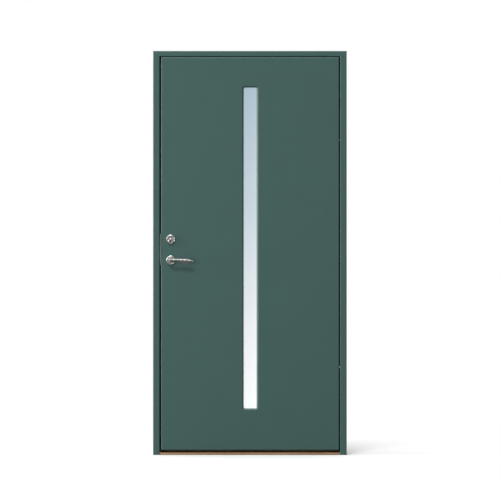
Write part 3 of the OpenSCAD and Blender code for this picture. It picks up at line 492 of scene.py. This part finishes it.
@dataclass(frozen=True)
class FrostedGlass(Finish):
    """Etched glass whose colour is painted bluer and darker toward its top, between two heights, as a painted
    reflection, and which glows faintly in that colour as painted light.
    """

    low: float
    high: float
    stops: Stops
    transmission: float = 0.1
    # Strength of the painted light that the pane glows with, though it is no lamp.
    painted_glow: float = 0.2
    roughness: float = 0.35
    swing: float = 0.05
    etch_scale: float = 1500.0
    etch_depth: float = 0.00001
    show: float = 0.4
    cloud: float = 0.006
    cloud_scale: float = 25.0

    def inputs(self, graph: Graph, effects: Effects) -> Inputs:
        """Gives the glass surface's inputs.

        Args:
            graph: The material's graph.
            effects: The shared effects.

        Returns:
            The shader's inputs by name.
        """
        # Painted reflection: the colour is light at the pane's foot and bluer and darker toward its top.
        height = graph.spread(graph.part(graph.place(), "Z"), 0.0, 1.0, self.low, self.high)
        clouds = {"Colour": graph.ramp(height, self.stops), "Scale": self.cloud_scale, "Amount": self.cloud}
        tone = graph.group(effects.mottle, clouds)["Colour"]
        etched = graph.group(effects.peel, {"Scale": self.etch_scale})["Height"]
        return {
            "Base Color": tone,
            # Painted light: the pane glows in its own painted colour.
            "Emission Color": tone,
            "Roughness": graph.sheen(etched, self.roughness, self.swing),
            "Normal": graph.bump(etched, self.etch_depth, self.show),
            "Emission Strength": self.painted_glow,
            "Transmission Weight": self.transmission,
            "IOR": GLASS_IOR,
        }


@dataclass(frozen=True)
class ClearGlass(Finish):
    """Clear float glass with a faint tint and hardly any waviness, which lets light on to what is behind."""

    tint: Colour = (0.96, 0.98, 0.97, 1.0)
    rough_span: Span = (0.02, 0.05)
    wave_scale: float = 20.0
    cloud: float = 0.01
    cloud_scale: float = 4.0
    shade: float = 0.1

    def inputs(self, graph: Graph, effects: Effects) -> Inputs:
        """Gives the glass surface's inputs.

        Args:
            graph: The material's graph.
            effects: The shared effects.

        Returns:
            The shader's inputs by name.
        """
        clouds = {"Colour": self.tint, "Scale": self.cloud_scale, "Amount": self.cloud}
        wavy = graph.group(effects.peel, {"Scale": self.wave_scale})["Height"]
        path = graph.add("LightPath").outputs
        lighting = graph.maths("MAXIMUM", path["Is Shadow Ray"], path["Is Diffuse Ray"])
        return {
            "Base Color": graph.group(effects.mottle, clouds)["Colour"],
            "Roughness": graph.spread(wavy, *self.rough_span, *PEEL_SPAN),
            "Alpha": graph.spread(lighting, 1.0, self.shade, 0.0, 1.0),
            "Transmission Weight": 1.0,
            "IOR": GLASS_IOR,
        }


class Palette:
    """The door's finishes, each made once."""

    oak: tuple[Colour, ...] = (srgb(158, 129, 94), srgb(132, 101, 68), srgb(90, 64, 41))
    oak_grain: Triple = (2.5, 120.0, 120.0)
    pine: tuple[Colour, ...] = (srgb(205, 172, 128), srgb(178, 138, 94), srgb(150, 110, 72))
    pine_grain: Triple = (110.0, 110.0, 2.5)
    # Painted reflection: the frosted pane's colours from its foot to its top, lighter below, bluer and darker
    # above.
    glass: Stops = (
        (0.0, srgb(250, 251, 252)),
        (0.25, srgb(234, 236, 240)),
        (0.62, srgb(199, 211, 219)),
        (1.0, srgb(171, 191, 203)),
    )

    def __init__(self) -> None:
        """Makes every finish's material, with the glass between the ends of its pane."""
        effects = Effects()
        low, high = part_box("outer_pane")
        finishes: dict[Slot, Finish] = {
            Slot.PAINT: SatinPaint("satin_green_paint", srgb(62, 92, 88)),
            Slot.OAK: Wood("oiled_oak", *self.oak, self.oak_grain),
            Slot.TIMBER: Wood("raw_pine", *self.pine, self.pine_grain),
            Slot.FOAM: Moulded("foam_core", srgb(214, 205, 178), 0.85, 260.0, 0.0004, 0.05, 0.0),
            Slot.RUBBER: Moulded("black_rubber", srgb(24, 24, 25), 0.55),
            Slot.GLASS: FrostedGlass("frosted_glass", low.z, high.z, self.glass),
            Slot.SPACER: Moulded("grey_spacer", srgb(128, 131, 134), 0.45),
            Slot.CHROME: Metal("satin_chrome", srgb(205, 203, 200), 0.25),
            # Partly painted shade: the plated brass is darkened beyond its own colour to paint the shade of
            # the plug's recess in the cylinder cover.
            Slot.BRASS: Metal("plated_brass", srgb(124, 116, 104), 0.4),
            Slot.STEEL: Metal("brushed_steel", srgb(190, 190, 188), 0.32, UPRIGHT_LINES),
            Slot.ZINC: Metal("zinc_plate", srgb(172, 175, 178), 0.36, EVEN_LINES),
            Slot.CLEAR: ClearGlass("clear_glass"),
            # Partly painted reflection: the edge guard's steel is darker and greener than brushed steel, the
            # green leaf's reflection painted into its colour.
            Slot.DULL: Metal("dull_steel", srgb(106, 121, 117), 0.45, UPRIGHT_LINES),
            Slot.BLACK: Metal("black_steel", srgb(40, 43, 44), 0.45, EVEN_LINES),
        }
        self.materials = {look: finish.material(effects) for look, finish in finishes.items()}

    def dress(self, look: Slot, *nodes: str) -> None:
        """Puts a finish on CAD nodes.

        Args:
            look: The finish.
            *nodes: Names of the nodes.
        """
        material = self.materials[look]
        for name in nodes:
            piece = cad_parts[name]
            piece.data.materials.clear()
            piece.data.materials.append(material)
            LOG.info("%s: %s", name, material.name)


def middle_of(node: str) -> Span:
    """Gives the middle of a CAD node's box seen from the front, as its X and Z."""
    low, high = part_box(node)
    return (low.x + high.x) / 2.0, (low.z + high.z) / 2.0


def seat(piece: Piece, node: str, body: str, palette: Palette) -> None:
    """Puts a chrome piece in the place of a CAD node on a moving body.

    Args:
        piece: The piece.
        node: The CAD node that it replaces.
        body: The body that it rides.
        palette: The finishes.
    """
    piece.data.materials.append(palette.materials[Slot.CHROME])
    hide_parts(node)
    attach(piece, body)
    LOG.info("%s: %d points", piece.name, len(piece.data.vertices))


def grid_faces(rows: int, columns: int, closed: bool = False) -> Array:
    """Gives the four-sided faces of a grid whose rows are closed rings.

    Args:
        rows: Number of rings.
        columns: Points in a ring.
        closed: Whether the last ring joins the first.

    Returns:
        Four point numbers for each face.
    """
    row, column = np.meshgrid(np.arange(rows if closed else rows - 1), np.arange(columns), indexing="ij")
    after = (column + 1) % columns
    here = row * columns
    below = (row + 1) % rows * columns
    corners = [here + column, here + after, below + after, below + column]
    return np.stack(corners, axis=-1).reshape(-1, 4)


def make_piece(name: str, points: Array, faces: list[list[int]]) -> Piece:
    """Makes an object from points and faces, smooth but for its sharp edges.

    Args:
        name: The piece's name.
        points: Points by axis.
        faces: Point numbers of each face.

    Returns:
        The piece.
    """
    mesh = bpy.data.meshes.new(name)
    mesh.from_pydata(points.tolist(), [], faces)
    mesh.polygons.foreach_set("use_smooth", np.ones(len(mesh.polygons), bool))
    mesh.set_sharp_from_angle(angle=SHARP_ANGLE)
    mesh.update()
    piece = bpy.data.objects.new(name, mesh)
    bpy.context.scene.collection.objects.link(piece)
    return piece


def ring_mesh(name: str, rings: Array) -> Piece:
    """Makes a closed body from rings of points, with a fan to the middle of the first and the last ring.

    Args:
        name: The piece's name.
        rings: Points by ring, point and axis.

    Returns:
        The piece.
    """
    rows, columns, _ = rings.shape
    middles = np.stack([rings[0].mean(axis=0), rings[-1].mean(axis=0)])
    points = np.concatenate([rings.reshape(-1, 3), middles])
    column = np.arange(columns)
    after = (column + 1) % columns
    last = (rows - 1) * columns
    foot = np.stack([np.full(columns, rows * columns), after, column], axis=-1)
    tip = np.stack([np.full(columns, rows * columns + 1), last + column, last + after], axis=-1)
    faces = grid_faces(rows, columns).tolist() + foot.tolist() + tip.tolist()
    return make_piece(name, points, faces)


def turned(name: str, turn: Array, sections: Array, axis: Span, foot_y: float) -> Piece:
    """Makes a closed body from sections set round an axis along Y on the leaf's outer face.

    A point lies at the axis plus its distance times the cosine and sine of the turn, and its height before
    the leaf. The faces are turned outward by the sign of the volume, the sum over the faces of a corner's
    dot product with the face's area vector.

    Args:
        name: The piece's name.
        turn: Angles from X toward Z.
        sections: Points by angle, point, and distance from the axis and height. One section may serve all.
        axis: X and Z of the axis.
        foot_y: Place of the leaf's face along Y.

    Returns:
        The piece.
    """
    across = axis[0] + np.cos(turn)[:, None] * sections[:, :, 0]
    upward = axis[1] + np.sin(turn)[:, None] * sections[:, :, 0]
    away = np.broadcast_to(foot_y - sections[:, :, 1], across.shape)
    points = np.stack([across, away, upward], axis=2).reshape(-1, 3)
    faces = grid_faces(*across.shape, closed=True)
    corners = points[faces] - points.mean(axis=0)
    area = np.cross(corners[:, 2] - corners[:, 0], corners[:, 3] - corners[:, 1])
    if np.sum(corners[:, 0] * area) < 0.0:
        faces = faces[:, ::-1]
    return make_piece(name, points, faces.tolist())


def turns(segments: int) -> Array:
    """Gives even angles once round."""
    return np.arange(segments) * (FULL_TURN / segments)


def rounded_section(corners: Array, cuts: Cuts, steps: int) -> Array:
    """Rounds the corners of polygons, many at once.

    A corner P with neighbours A and B starts and ends at its cut distance along PA and PB, and between
    them runs the quadratic curve that has P as its middle control point. One more point on each side keeps
    the flats between the corners flat when they are shaded.

    Args:
        corners: Corners by polygon, corner and axis.
        cuts: Cut distance of each corner.
        steps: Points on each rounded corner.

    Returns:
        Points by polygon, point and axis.
    """
    most, flat_step, flat_most = 0.4, 1.4, 0.48
    wide = np.array(cuts)[None, :, None]
    ends = []
    flats = []
    for shift in (1, -1):
        way = np.roll(corners, shift, axis=1) - corners
        reach = np.linalg.norm(way, axis=2, keepdims=True)
        ends.append((corners + way / reach * np.minimum(wide, reach * most))[:, :, None])
        flats.append((corners + way / reach * np.minimum(wide * flat_step, reach * flat_most))[:, :, None])
    q = np.linspace(0.0, 1.0, steps)[None, None, :, None]
    curve = (1 - q) ** 2 * ends[0] + 2 * q * (1 - q) * corners[:, :, None] + q**2 * ends[1]
    edged = np.concatenate([flats[0], curve, flats[1]], axis=2)
    return edged.reshape(len(corners), -1, 2)


def smooth(value: Array, start: float, end: float) -> Array:
    """Gives the soft step from zero at start to one at end, three times the square less twice the cube."""
    t = np.clip((value - start) / (end - start), 0.0, 1.0)
    return t * t * (3.0 - 2.0 * t)


@dataclass
class Lever:
    """A lever bent from its neck to a ridged grip, as one swept surface.

    All sizes are in metres. The path leaves the leaf along the neck, turns through the elbow's quarter
    circle and runs along X to the tip. The section is a round at the neck and becomes the grip's wedge,
    with a ridge in front, in the elbow.
    """

    face: Face
    node: str
    rose: str
    neck_radius: float = 0.008
    elbow_swell: float = 0.0024
    swell_from: float = 0.0105
    swell_to: float = 0.024
    neck_foot: float = 0.0005
    reach: float = 0.054
    grip_middle: float = 0.047
    grip_half_depth: float = 0.007
    elbow_radius: float = 0.013
    length: float = 0.1205
    top: float = 0.0083
    foot: float = -0.0078
    thinnest: float = 0.0002
    fall_from: float = 0.074
    fall_radius: float = 0.082
    fall_share: float = 0.9
    belly_from: float = 0.029
    belly_angle: float = 10.2
    belly_middle: float = 0.088
    belly_radius: float = 0.055
    belly_shares: Span = (0.9, 0.98)
    ridge: float = 0.002
    ridge_tip: float = -0.0062
    ridge_bend: float = 2.6
    ridge_room: Span = (0.3, 0.2)
    top_slant: float = 1.15
    foot_slant: float = 1.25
    back_wall: float = 0.0008
    tip_thinning: float = 0.0004
    thinning_from: float = 0.5
    end_length: float = 0.003
    end_round: float = 0.75
    morph_degrees: Span = (8.0, 70.0)
    cuts: Cuts = (0.0016, 0.002, 0.0011, 0.0009, 0.0009)
    corner_steps: int = 7
    neck_rings: int = 10
    elbow_rings: int = 22
    grip_rings: int = 70
    tip_crowding: float = 1.6

    def stations(self) -> tuple[Array, Array, Array]:
        """Gives the path: straight neck, quarter circle, straight grip with closer steps at the tip.

        Returns:
            Distance along X, distance from the leaf and turn in radians, for each ring.
        """
        turn_start = self.grip_middle - self.elbow_radius
        neck = np.linspace(self.neck_foot, turn_start, self.neck_rings)[:-1]
        turn = np.linspace(0.0, QUARTER_TURN, self.elbow_rings)
        run = 1.0 - np.linspace(1.0, 0.0, self.grip_rings)[1:] ** self.tip_crowding
        along = self.elbow_radius + (self.length - self.elbow_radius) * run
        rise = turn_start + self.elbow_radius * np.sin(turn)
        x = np.concatenate([0 * neck, self.elbow_radius * (1 - np.cos(turn)), along])
        out = np.concatenate([neck, rise, along * 0 + self.grip_middle])
        angle = np.concatenate([neck * 0, turn, along * 0 + QUARTER_TURN])
        return x, out, angle

    def outline(self, x: Array) -> tuple[Array, Array, Array]:
        """Gives the grip's upper edge, lower edge and ridge seen from the front.

        The upper edge is straight and then falls along a large circle. The lower edge is straight, slopes
        down and ends in the belly's circle. The ridge falls to the tip.

        Args:
            x: Distances along the grip.

        Returns:
            Heights of the upper edge, the lower edge and the ridge.
        """
        past = np.clip(x - self.fall_from, 0.0, self.fall_radius * self.fall_share)
        upper = self.top - self.fall_radius + np.sqrt(self.fall_radius**2 - past**2)
        lean = math.radians(self.belly_angle)
        slope = self.foot - np.clip(x - self.belly_from, 0.0, None) * math.tan(lean)
        touch = self.belly_middle - self.belly_radius * math.sin(lean)
        level = self.foot - (touch - self.belly_from) * math.tan(lean) + self.belly_radius * math.cos(lean)
        before, beyond = self.belly_shares
        swing = np.clip(x - self.belly_middle, -self.belly_radius * before, self.belly_radius * beyond)
        belly = level - np.sqrt(self.belly_radius**2 - swing**2)
        lower = np.where(x > touch, belly, slope)
        fall = np.clip((x - self.belly_from) / (self.length - self.belly_from), 0.0, 1.0)
        ridge = self.ridge + (self.ridge_tip - self.ridge) * fall**self.ridge_bend
        return upper, np.minimum(lower, upper - self.thinnest), ridge

    def wedge(self, x: Array) -> Array:
        """Gives the grip's section at each ring: flat back, upper and lower slope, and a ridge in front.

        Args:
            x: Distances along the grip.

        Returns:
            Points by ring, point, and height and depth.
        """
        upper, lower, ridge = self.outline(x)
        tall = upper - lower
        ridge = np.clip(ridge, lower + self.ridge_room[0] * tall, upper - self.ridge_room[1] * tall)
        thinning = smooth(x, self.length * self.thinning_from, self.length)
        half = self.grip_half_depth - self.tip_thinning * thinning
        end = np.clip((self.length - x) / self.end_length, 0.0, 1.0)
        half = half * np.sqrt(1.0 - (1.0 - end) ** 2 * self.end_round)
        deepest = 2.0 * half - self.back_wall
        wall = half - np.minimum(self.top_slant * (upper - ridge), deepest)
        low_wall = half - np.minimum(self.foot_slant * (ridge - lower), deepest)
        heights = np.stack([upper, upper, ridge, lower, lower], axis=1)
        depths = np.stack([-half, wall, half, low_wall, -half], axis=1)
        return rounded_section(np.stack([heights, depths], axis=2), self.cuts, self.corner_steps)

    def rings(self) -> Array:
        """Gives the surface's rings in the lever's own axes: along X, up, and out from the leaf.

        Each ring is the section times its morph, round to wedge, set square to the path. The round takes
        its bearings from the wedge a third of the way along.

        Returns:
            Points by ring, point and axis.
        """
        x, out, angle = self.stations()
        wedge = self.wedge(x)
        start = wedge[len(x) // 3]
        bearing = np.arctan2(start[:, 1], start[:, 0])
        radius = self.neck_radius + self.elbow_swell * smooth(out, self.swell_from, self.swell_to)
        circle = radius[:, None, None] * np.stack([np.cos(bearing), np.sin(bearing)], axis=1)[None]
        morph = smooth(angle, *np.radians(self.morph_degrees))[:, None, None]
        section = (1.0 - morph) * circle + morph * wedge
        along = x[:, None] - section[:, :, 1] * np.cos(angle)[:, None]
        away = out[:, None] + section[:, :, 1] * np.sin(angle)[:, None]
        return np.stack([along, section[:, :, 0], away], axis=2)

    def build(self, palette: Palette) -> None:
        """Makes the lever's piece in place of its CAD node.

        Args:
            palette: The finishes.
        """
        low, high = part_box(self.node)
        leaf_y = low.y + self.reach if self.face is Face.OUTER else high.y - self.reach
        axis_x, axis_z = middle_of(self.rose)
        along, up, away = np.moveaxis(self.rings(), 2, 0)
        placed = np.stack([axis_x + along, leaf_y + self.face.value * away, axis_z + up], axis=2)
        if self.face is Face.INNER:
            placed = placed[:, ::-1]
        seat(ring_mesh(f"{self.node}_surface", placed), self.node, "lever_set", palette)


@dataclass
class Cover:
    """A round cover with a sunk face and a sloping rim. All sizes are in metres."""

    node: str
    radius: float
    height: float
    dish: float
    rim: float = 0.0034
    bevel: float = 0.0023
    slope: float = 0.0012

    def rim_corners(self) -> tuple[Array, Array]:
        """Gives the rim's corners from the sunk face outward, as distances from the axis and heights."""
        radii = self.radius - np.array([self.rim + self.dish, self.rim, self.bevel, 0.0])
        return radii, self.height - np.array([self.dish, 0.0, 0.0, self.slope])


@dataclass
class Rose(Cover):
    """The lever's cover, as one section turned about its axis."""

    node: str = "outer_rose"
    radius: float = 0.0232
    height: float = 0.009
    dish: float = 0.0012
    bore: float = 0.0081
    cuts: Cuts = (0.0003, 0.0006, 0.0007, 0.0005, 0.0004, 0.0006, 0.0003)
    corner_steps: int = 9
    segments: int = 96

    def section(self) -> Array:
        """Gives the section's closed outline.

        Returns:
            Points of the one section by distance from the axis and from the leaf.
        """
        inner = [(self.bore, 0.0), (self.bore, self.height - self.dish)]
        corners = [*inner, *zip(*self.rim_corners()), (self.radius, 0.0)]
        return rounded_section(np.array([corners]), self.cuts, self.corner_steps)

    def build(self, palette: Palette) -> None:
        """Makes the cover in place of its CAD node.

        Args:
            palette: The finishes.
        """
        foot_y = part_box(self.node)[0].y + self.height
        axis = middle_of(self.node)
        piece = turned(f"{self.node}_surface", turns(self.segments), self.section(), axis, foot_y)
        seat(piece, self.node, "leaf", palette)


@dataclass
class CylinderCover(Cover):
    """The round cover over the lock cylinder with a collar below its middle, seen as one surface.

    The surface runs round the key plug's axis. At each angle its section climbs from the pocket of the
    cylinder, over the collar's lip, down to the sunk face, over the rim and down to the leaf. The rim's
    circles lie about the cover's own axis, so each is met by a ray from the plug. Where the collar covers
    a circle, its point lies beside the collar's foot, a fold away from the point before it.
    """

    node: str = "cylinder_ring"
    radius: float = 0.0223
    height: float = 0.01
    dish: float = 0.001
    plug: str = "cylinder_plug"
    collar_radius: float = 0.0135
    collar_height: float = 0.0115
    hole_radius: float = 0.006
    pocket_radius: float = 0.0108
    pocket_height: float = 0.008
    pocket_rise: float = 0.014
    fold: float = 0.00002
    inner_cuts: Cuts = (0.0003, 0.0004, 0.0004, 0.0009, 0.0015, 0.0005)
    outer_cuts: Cuts = (0.0007, 0.0005, 0.0004, 0.0006, 0.0003)
    corner_steps: int = 7
    segments: int = 144

    def reach(self, turn: Array, rise: float, radius: float) -> Array:
        """Meets a circle a rise above the plug: rise times sine, plus the root that its equation leaves."""
        rest = np.maximum(radius**2 - (rise * np.cos(turn)) ** 2, 0.0)
        return rise * np.sin(turn) + np.sqrt(rest)

    def pocket(self, turn: Array) -> Array:
        """Gives the distance to the cylinder's pocket, a round below, straight sides and a round above.

        Args:
            turn: Angles of the rays from X toward Z.

        Returns:
            Distances along the rays.
        """
        side = self.pocket_radius / np.maximum(np.abs(np.cos(turn)), TINY)
        straight = np.sin(turn) * side < self.pocket_rise
        capped = np.where(straight, side, self.reach(turn, self.pocket_rise, self.pocket_radius))
        return np.where(np.sin(turn) > 0.0, capped, self.pocket_radius)

    def sections(self, turn: Array, rise: float) -> Array:
        """Gives the section's closed outline at each angle.

        Args:
            turn: Angles about the plug's axis.
            rise: Height of the cover's axis above the plug's.

        Returns:
            Points by angle, point, and distance from the plug's axis and from the leaf.
        """
        flat = 0.0 * turn
        pocket = self.pocket(turn)
        radii, levels = self.rim_corners()
        collar_x = self.collar_radius * np.cos(turn)
        collar_z = self.collar_radius * np.sin(turn) - rise
        collar_gap = np.hypot(collar_x, collar_z)
        foot = np.interp(collar_gap, radii, levels)
        foot = np.where(collar_gap > self.radius, self.height / 2.0, foot)
        points = [
            (pocket, flat),
            (pocket, flat + self.pocket_height),
            (flat + self.hole_radius, flat + self.pocket_height),
            (flat + self.hole_radius, flat + self.collar_height),
            (flat + self.collar_radius, flat + self.collar_height),
            (flat + self.collar_radius, foot),
        ]
        for step, (radius, level) in enumerate(zip(radii, levels), start=1):
            distance = self.reach(turn, rise, radius)
            beside = self.collar_radius + step * self.fold
            hidden = distance < beside
            height = np.where(hidden, foot - step * self.fold, level)
            points.append((np.where(hidden, beside, distance), height))
        points.append((points[-1][0], flat))
        corners = np.stack([np.stack(pair, axis=-1) for pair in points], axis=1)
        return rounded_section(corners, self.inner_cuts + self.outer_cuts, self.corner_steps)

    def build(self, palette: Palette) -> None:
        """Makes the cover in place of its CAD node.

        Args:
            palette: The finishes.
        """
        low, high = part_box(self.node)
        axis = middle_of(self.plug)
        turn = turns(self.segments)
        sections = self.sections(turn, high.z - self.radius - axis[1])
        piece = turned(f"{self.node}_surface", turn, sections, axis, low.y + self.collar_height)
        seat(piece, self.node, "leaf", palette)


@dataclass
class Dressed:
    """A sub-assembly that keeps its CAD forms, with the names of its nodes by finish."""

    looks: Looks = ()

    def dress(self, palette: Palette) -> None:
        """Puts the finishes on the nodes."""
        for look, nodes in self.looks:
            palette.dress(look, *nodes)


@dataclass
class DoorFrame(Dressed):
    """The painted frame with its oak threshold, seals, strike and fixings."""

    looks: Looks = (
        (Slot.PAINT, ("lock_jamb", "hinge_jamb", "head", "frame_stops")),
        (Slot.OAK, ("threshold",)),
        (Slot.RUBBER, ("jamb_seals", "head_seal", "threshold_seal")),
        (Slot.STEEL, ("strike_plate",)),
        (Slot.ZINC, ("strike_screws", "fixing_sleeves", "corner_screws", "hinge_frame_screws")),
    )


@dataclass
class DoorLeaf(Dressed):
    """The leaf: painted skins and edges, timber and foam inside."""

    looks: Looks = (
        (Slot.PAINT, ("outer_skin", "inner_skin", "inner_bead")),
        (Slot.PAINT, ("lock_stile", "hinge_stile", "top_rail", "bottom_rail")),
        (Slot.TIMBER, ("slot_post_lock", "slot_post_hinge", "slot_block_top", "slot_block_bottom")),
        (Slot.FOAM, ("core_lock", "core_hinge")),
    )


@dataclass
class GlassSlot(Dressed):
    """The three panes, the outer one frosted, with their spacers, tapes and blocks."""

    looks: Looks = (
        (Slot.GLASS, ("outer_pane",)),
        (Slot.CLEAR, ("middle_pane", "inner_pane")),
        (Slot.SPACER, ("spacers",)),
        (Slot.RUBBER, ("glazing_tapes", "setting_blocks")),
    )


@dataclass
class LockSet(Dressed):
    """The lock, its cylinder, roses, thumb turn and edge guard."""

    looks: Looks = (
        (Slot.CHROME, ("outer_rose", "inner_rose", "cylinder_ring", "thumbturn_rose", "thumb_turn")),
        (Slot.STEEL, ("forend", "latch_bolt", "dead_bolt", "security_pins")),
        (Slot.DULL, ("edge_guard",)),
        (Slot.BRASS, ("cylinder_body", "cylinder_plug", "tailpiece")),
        (Slot.ZINC, ("lock_case", "lock_cover", "spindle", "follower", "bolt_cam")),
        (Slot.ZINC, ("edge_guard_screws", "forend_screws", "rose_screws", "grub_screws")),
    )


@dataclass
class HingeSet(Dressed):
    """The concealed hinges: their cases in frame and leaf, and their links, all blackened."""

    looks: Looks = (
        (Slot.BLACK, ("hinge_frame_cases", "hinge_leaf_cases", "hinge_links")),
        (Slot.ZINC, ("hinge_leaf_screws",)),
    )


@dataclass
class Lamp:
    """A soft rectangular lamp that looks at a point."""

    name: str
    place: Triple
    width: float
    height: float
    watts: float
    target: Triple = (0.0, -0.05, 1.0)

    def build(self) -> None:
        """Makes the lamp, which the camera doesn't see."""
        data = bpy.data.lights.new(self.name, "AREA")
        data.shape = "RECTANGLE"
        data.size = self.width
        data.size_y = self.height
        data.energy = self.watts
        lamp = bpy.data.objects.new(self.name, data)
        lamp.location = self.place
        gaze = Vector(self.target) - Vector(self.place)
        lamp.rotation_euler = gaze.to_track_quat("-Z", "Y").to_euler()
        lamp.visible_camera = False
        bpy.context.scene.collection.objects.link(lamp)
        LOG.info("lamp %s: %.0f W", self.name, self.watts)


@dataclass
class Studio:
    """Pale floor, white backdrop, soft lamps and the camera in front of the door.

    Floor and room have their own tones for the camera, mirrored rays and plain light. The room gets
    brighter toward its bright side, first as a wall and then as a ceiling.
    """

    floor_half: float = 40.0
    floor_rough: float = 0.9
    floor_tone: float = 0.95
    floor_bounce: float = 0.32
    floor_mirrored: float = 0.15
    floor_near: float = 0.7
    floor_far: float = 1.8
    ambient: float = 0.42
    back_light: float = 0.9
    backdrop: float = 1.0
    horizon: float = 0.05
    bright_side: Triple = (-0.6, -0.25, 0.76)
    wall: Span = (0.18, 0.32)
    wall_toward: Span = (-1.0, 0.3)
    ceiling: Span = (0.0, 1.8)
    ceiling_toward: Span = (0.4, 0.95)
    lens: float = 300.0
    sensor: float = 36.0
    sight: float = 200.0
    view_side: float = 2.571
    eye_x: float = 0.0006
    eye_z: float = 1.054
    lamps: tuple[Lamp, ...] = (
        Lamp("key_above", (-4.8, -25.5, 28.0), 7.2, 7.2, 6050.0),
        Lamp("tall_left", (-6.0, -1.0, 1.4), 0.6, 4.4, 225.0),
        Lamp("low_left", (-4.5, -7.0, 1.5), 0.8, 3.0, 150.0),
        Lamp("overhead", (-0.5, -1.8, 10.0), 4.0, 2.5, 40.0),
    )

    def build_floor(self) -> None:
        """Makes the floor as a flat grid of two by two points."""
        edge = np.array([-self.floor_half, self.floor_half])
        across, along = np.meshgrid(edge, edge)
        points = np.stack([across, along, 0 * across], axis=-1).reshape(-1, 3)
        floor = make_piece("studio_floor", points, [[0, 1, 3, 2]])
        floor.data.materials.append(self.floor_material())

    def floor_material(self) -> Material:
        """Makes the floor's material: pale and lit near the door, the backdrop's white farther away.

        Returns:
            The material.
        """
        material, graph, shader = blank("pale_floor")
        output = next(n for n in material.node_tree.nodes if n.type == "OUTPUT_MATERIAL")
        reach = graph.add("VectorMath", {0: graph.place()}, operation="LENGTH")
        far = graph.spread(reach.outputs["Value"], 0.0, 1.0, self.floor_near, self.floor_far)
        path = graph.add("LightPath").outputs
        direct = path["Is Camera Ray"]
        lit = graph.mix(path["Is Glossy Ray"], grey(self.floor_bounce), grey(self.floor_mirrored))
        tone = graph.mix(direct, lit, grey(self.floor_tone))
        graph.feed(shader, {"Base Color": tone, "Roughness": self.floor_rough, "Specular IOR Level": 0.0})
        white = graph.add("Emission").outputs["Emission"]
        layers = {"Fac": graph.maths("MULTIPLY", far, direct), 1: shader.outputs["BSDF"], 2: white}
        blend = graph.add("MixShader", layers)
        graph.feed(output, {"Surface": blend.outputs["Shader"]})
        return material

    def build_world(self) -> None:
        """Makes the world: white to the camera, an even grey light, and a room that metal and glass show."""
        world = bpy.data.worlds.new("studio_world")
        bpy.context.scene.world = world
        world.use_nodes = True
        world.node_tree.nodes.clear()
        graph = Graph(world.node_tree)
        place = graph.add("TexCoord").outputs["Generated"]
        behind = graph.spread(graph.part(place, "Y"), 0.0, 1.0, -self.horizon, self.horizon)
        sides = {0: place, 1: self.bright_side}
        toward = graph.add("VectorMath", sides, operation="DOT_PRODUCT").outputs["Value"]
        wall = graph.spread(toward, *self.wall, *self.wall_toward)
        ceiling = graph.spread(toward, *self.ceiling, *self.ceiling_toward)
        room = graph.maths("ADD", wall, ceiling)
        white = grey(self.backdrop)
        seen = graph.mix(behind, room, white)
        soft = graph.mix(behind, graph.maths("MULTIPLY", room, self.ambient), grey(self.back_light))
        path = graph.add("LightPath").outputs
        sharp = graph.maths("MAXIMUM", path["Is Glossy Ray"], path["Is Transmission Ray"])
        shown = graph.mix(path["Is Camera Ray"], graph.mix(sharp, soft, seen), white)
        background = graph.add("Background", {"Color": shown})
        graph.add("OutputWorld", {"Surface": background.outputs["Background"]})

    def build_camera(self) -> None:
        """Makes the camera, far in front and level, so that its view is as wide as the photograph's."""
        face_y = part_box("outer_skin")[0].y
        data = bpy.data.cameras.new("front_camera")
        data.lens = self.lens
        data.sensor_width = self.sensor
        data.clip_end = self.sight
        camera = bpy.data.objects.new("front_camera", data)
        away = self.view_side * self.lens / self.sensor
        camera.location = (self.eye_x, face_y - away, self.eye_z)
        camera.rotation_euler = (QUARTER_TURN, 0.0, 0.0)
        bpy.context.scene.collection.objects.link(camera)
        bpy.context.scene.camera = camera

    def build(self) -> None:
        """Makes floor, world, lamps and camera."""
        bpy.context.scene.view_settings.view_transform = "Standard"
        self.build_floor()
        self.build_world()
        for lamp in self.lamps:
            lamp.build()
        self.build_camera()


def main() -> None:
    """Builds and dresses the door and its studio."""
    logging.basicConfig(level=logging.INFO, format="%(message)s")
    palette = Palette()
    for assembly in (DoorFrame(), DoorLeaf(), GlassSlot(), LockSet(), HingeSet()):
        assembly.dress(palette)
    Rose().build(palette)
    CylinderCover().build(palette)
    Lever(Face.OUTER, "outer_lever", "outer_rose").build(palette)
    Lever(Face.INNER, "inner_lever", "inner_rose").build(palette)
    Studio().build()


if __name__ == "__main__":
    main()
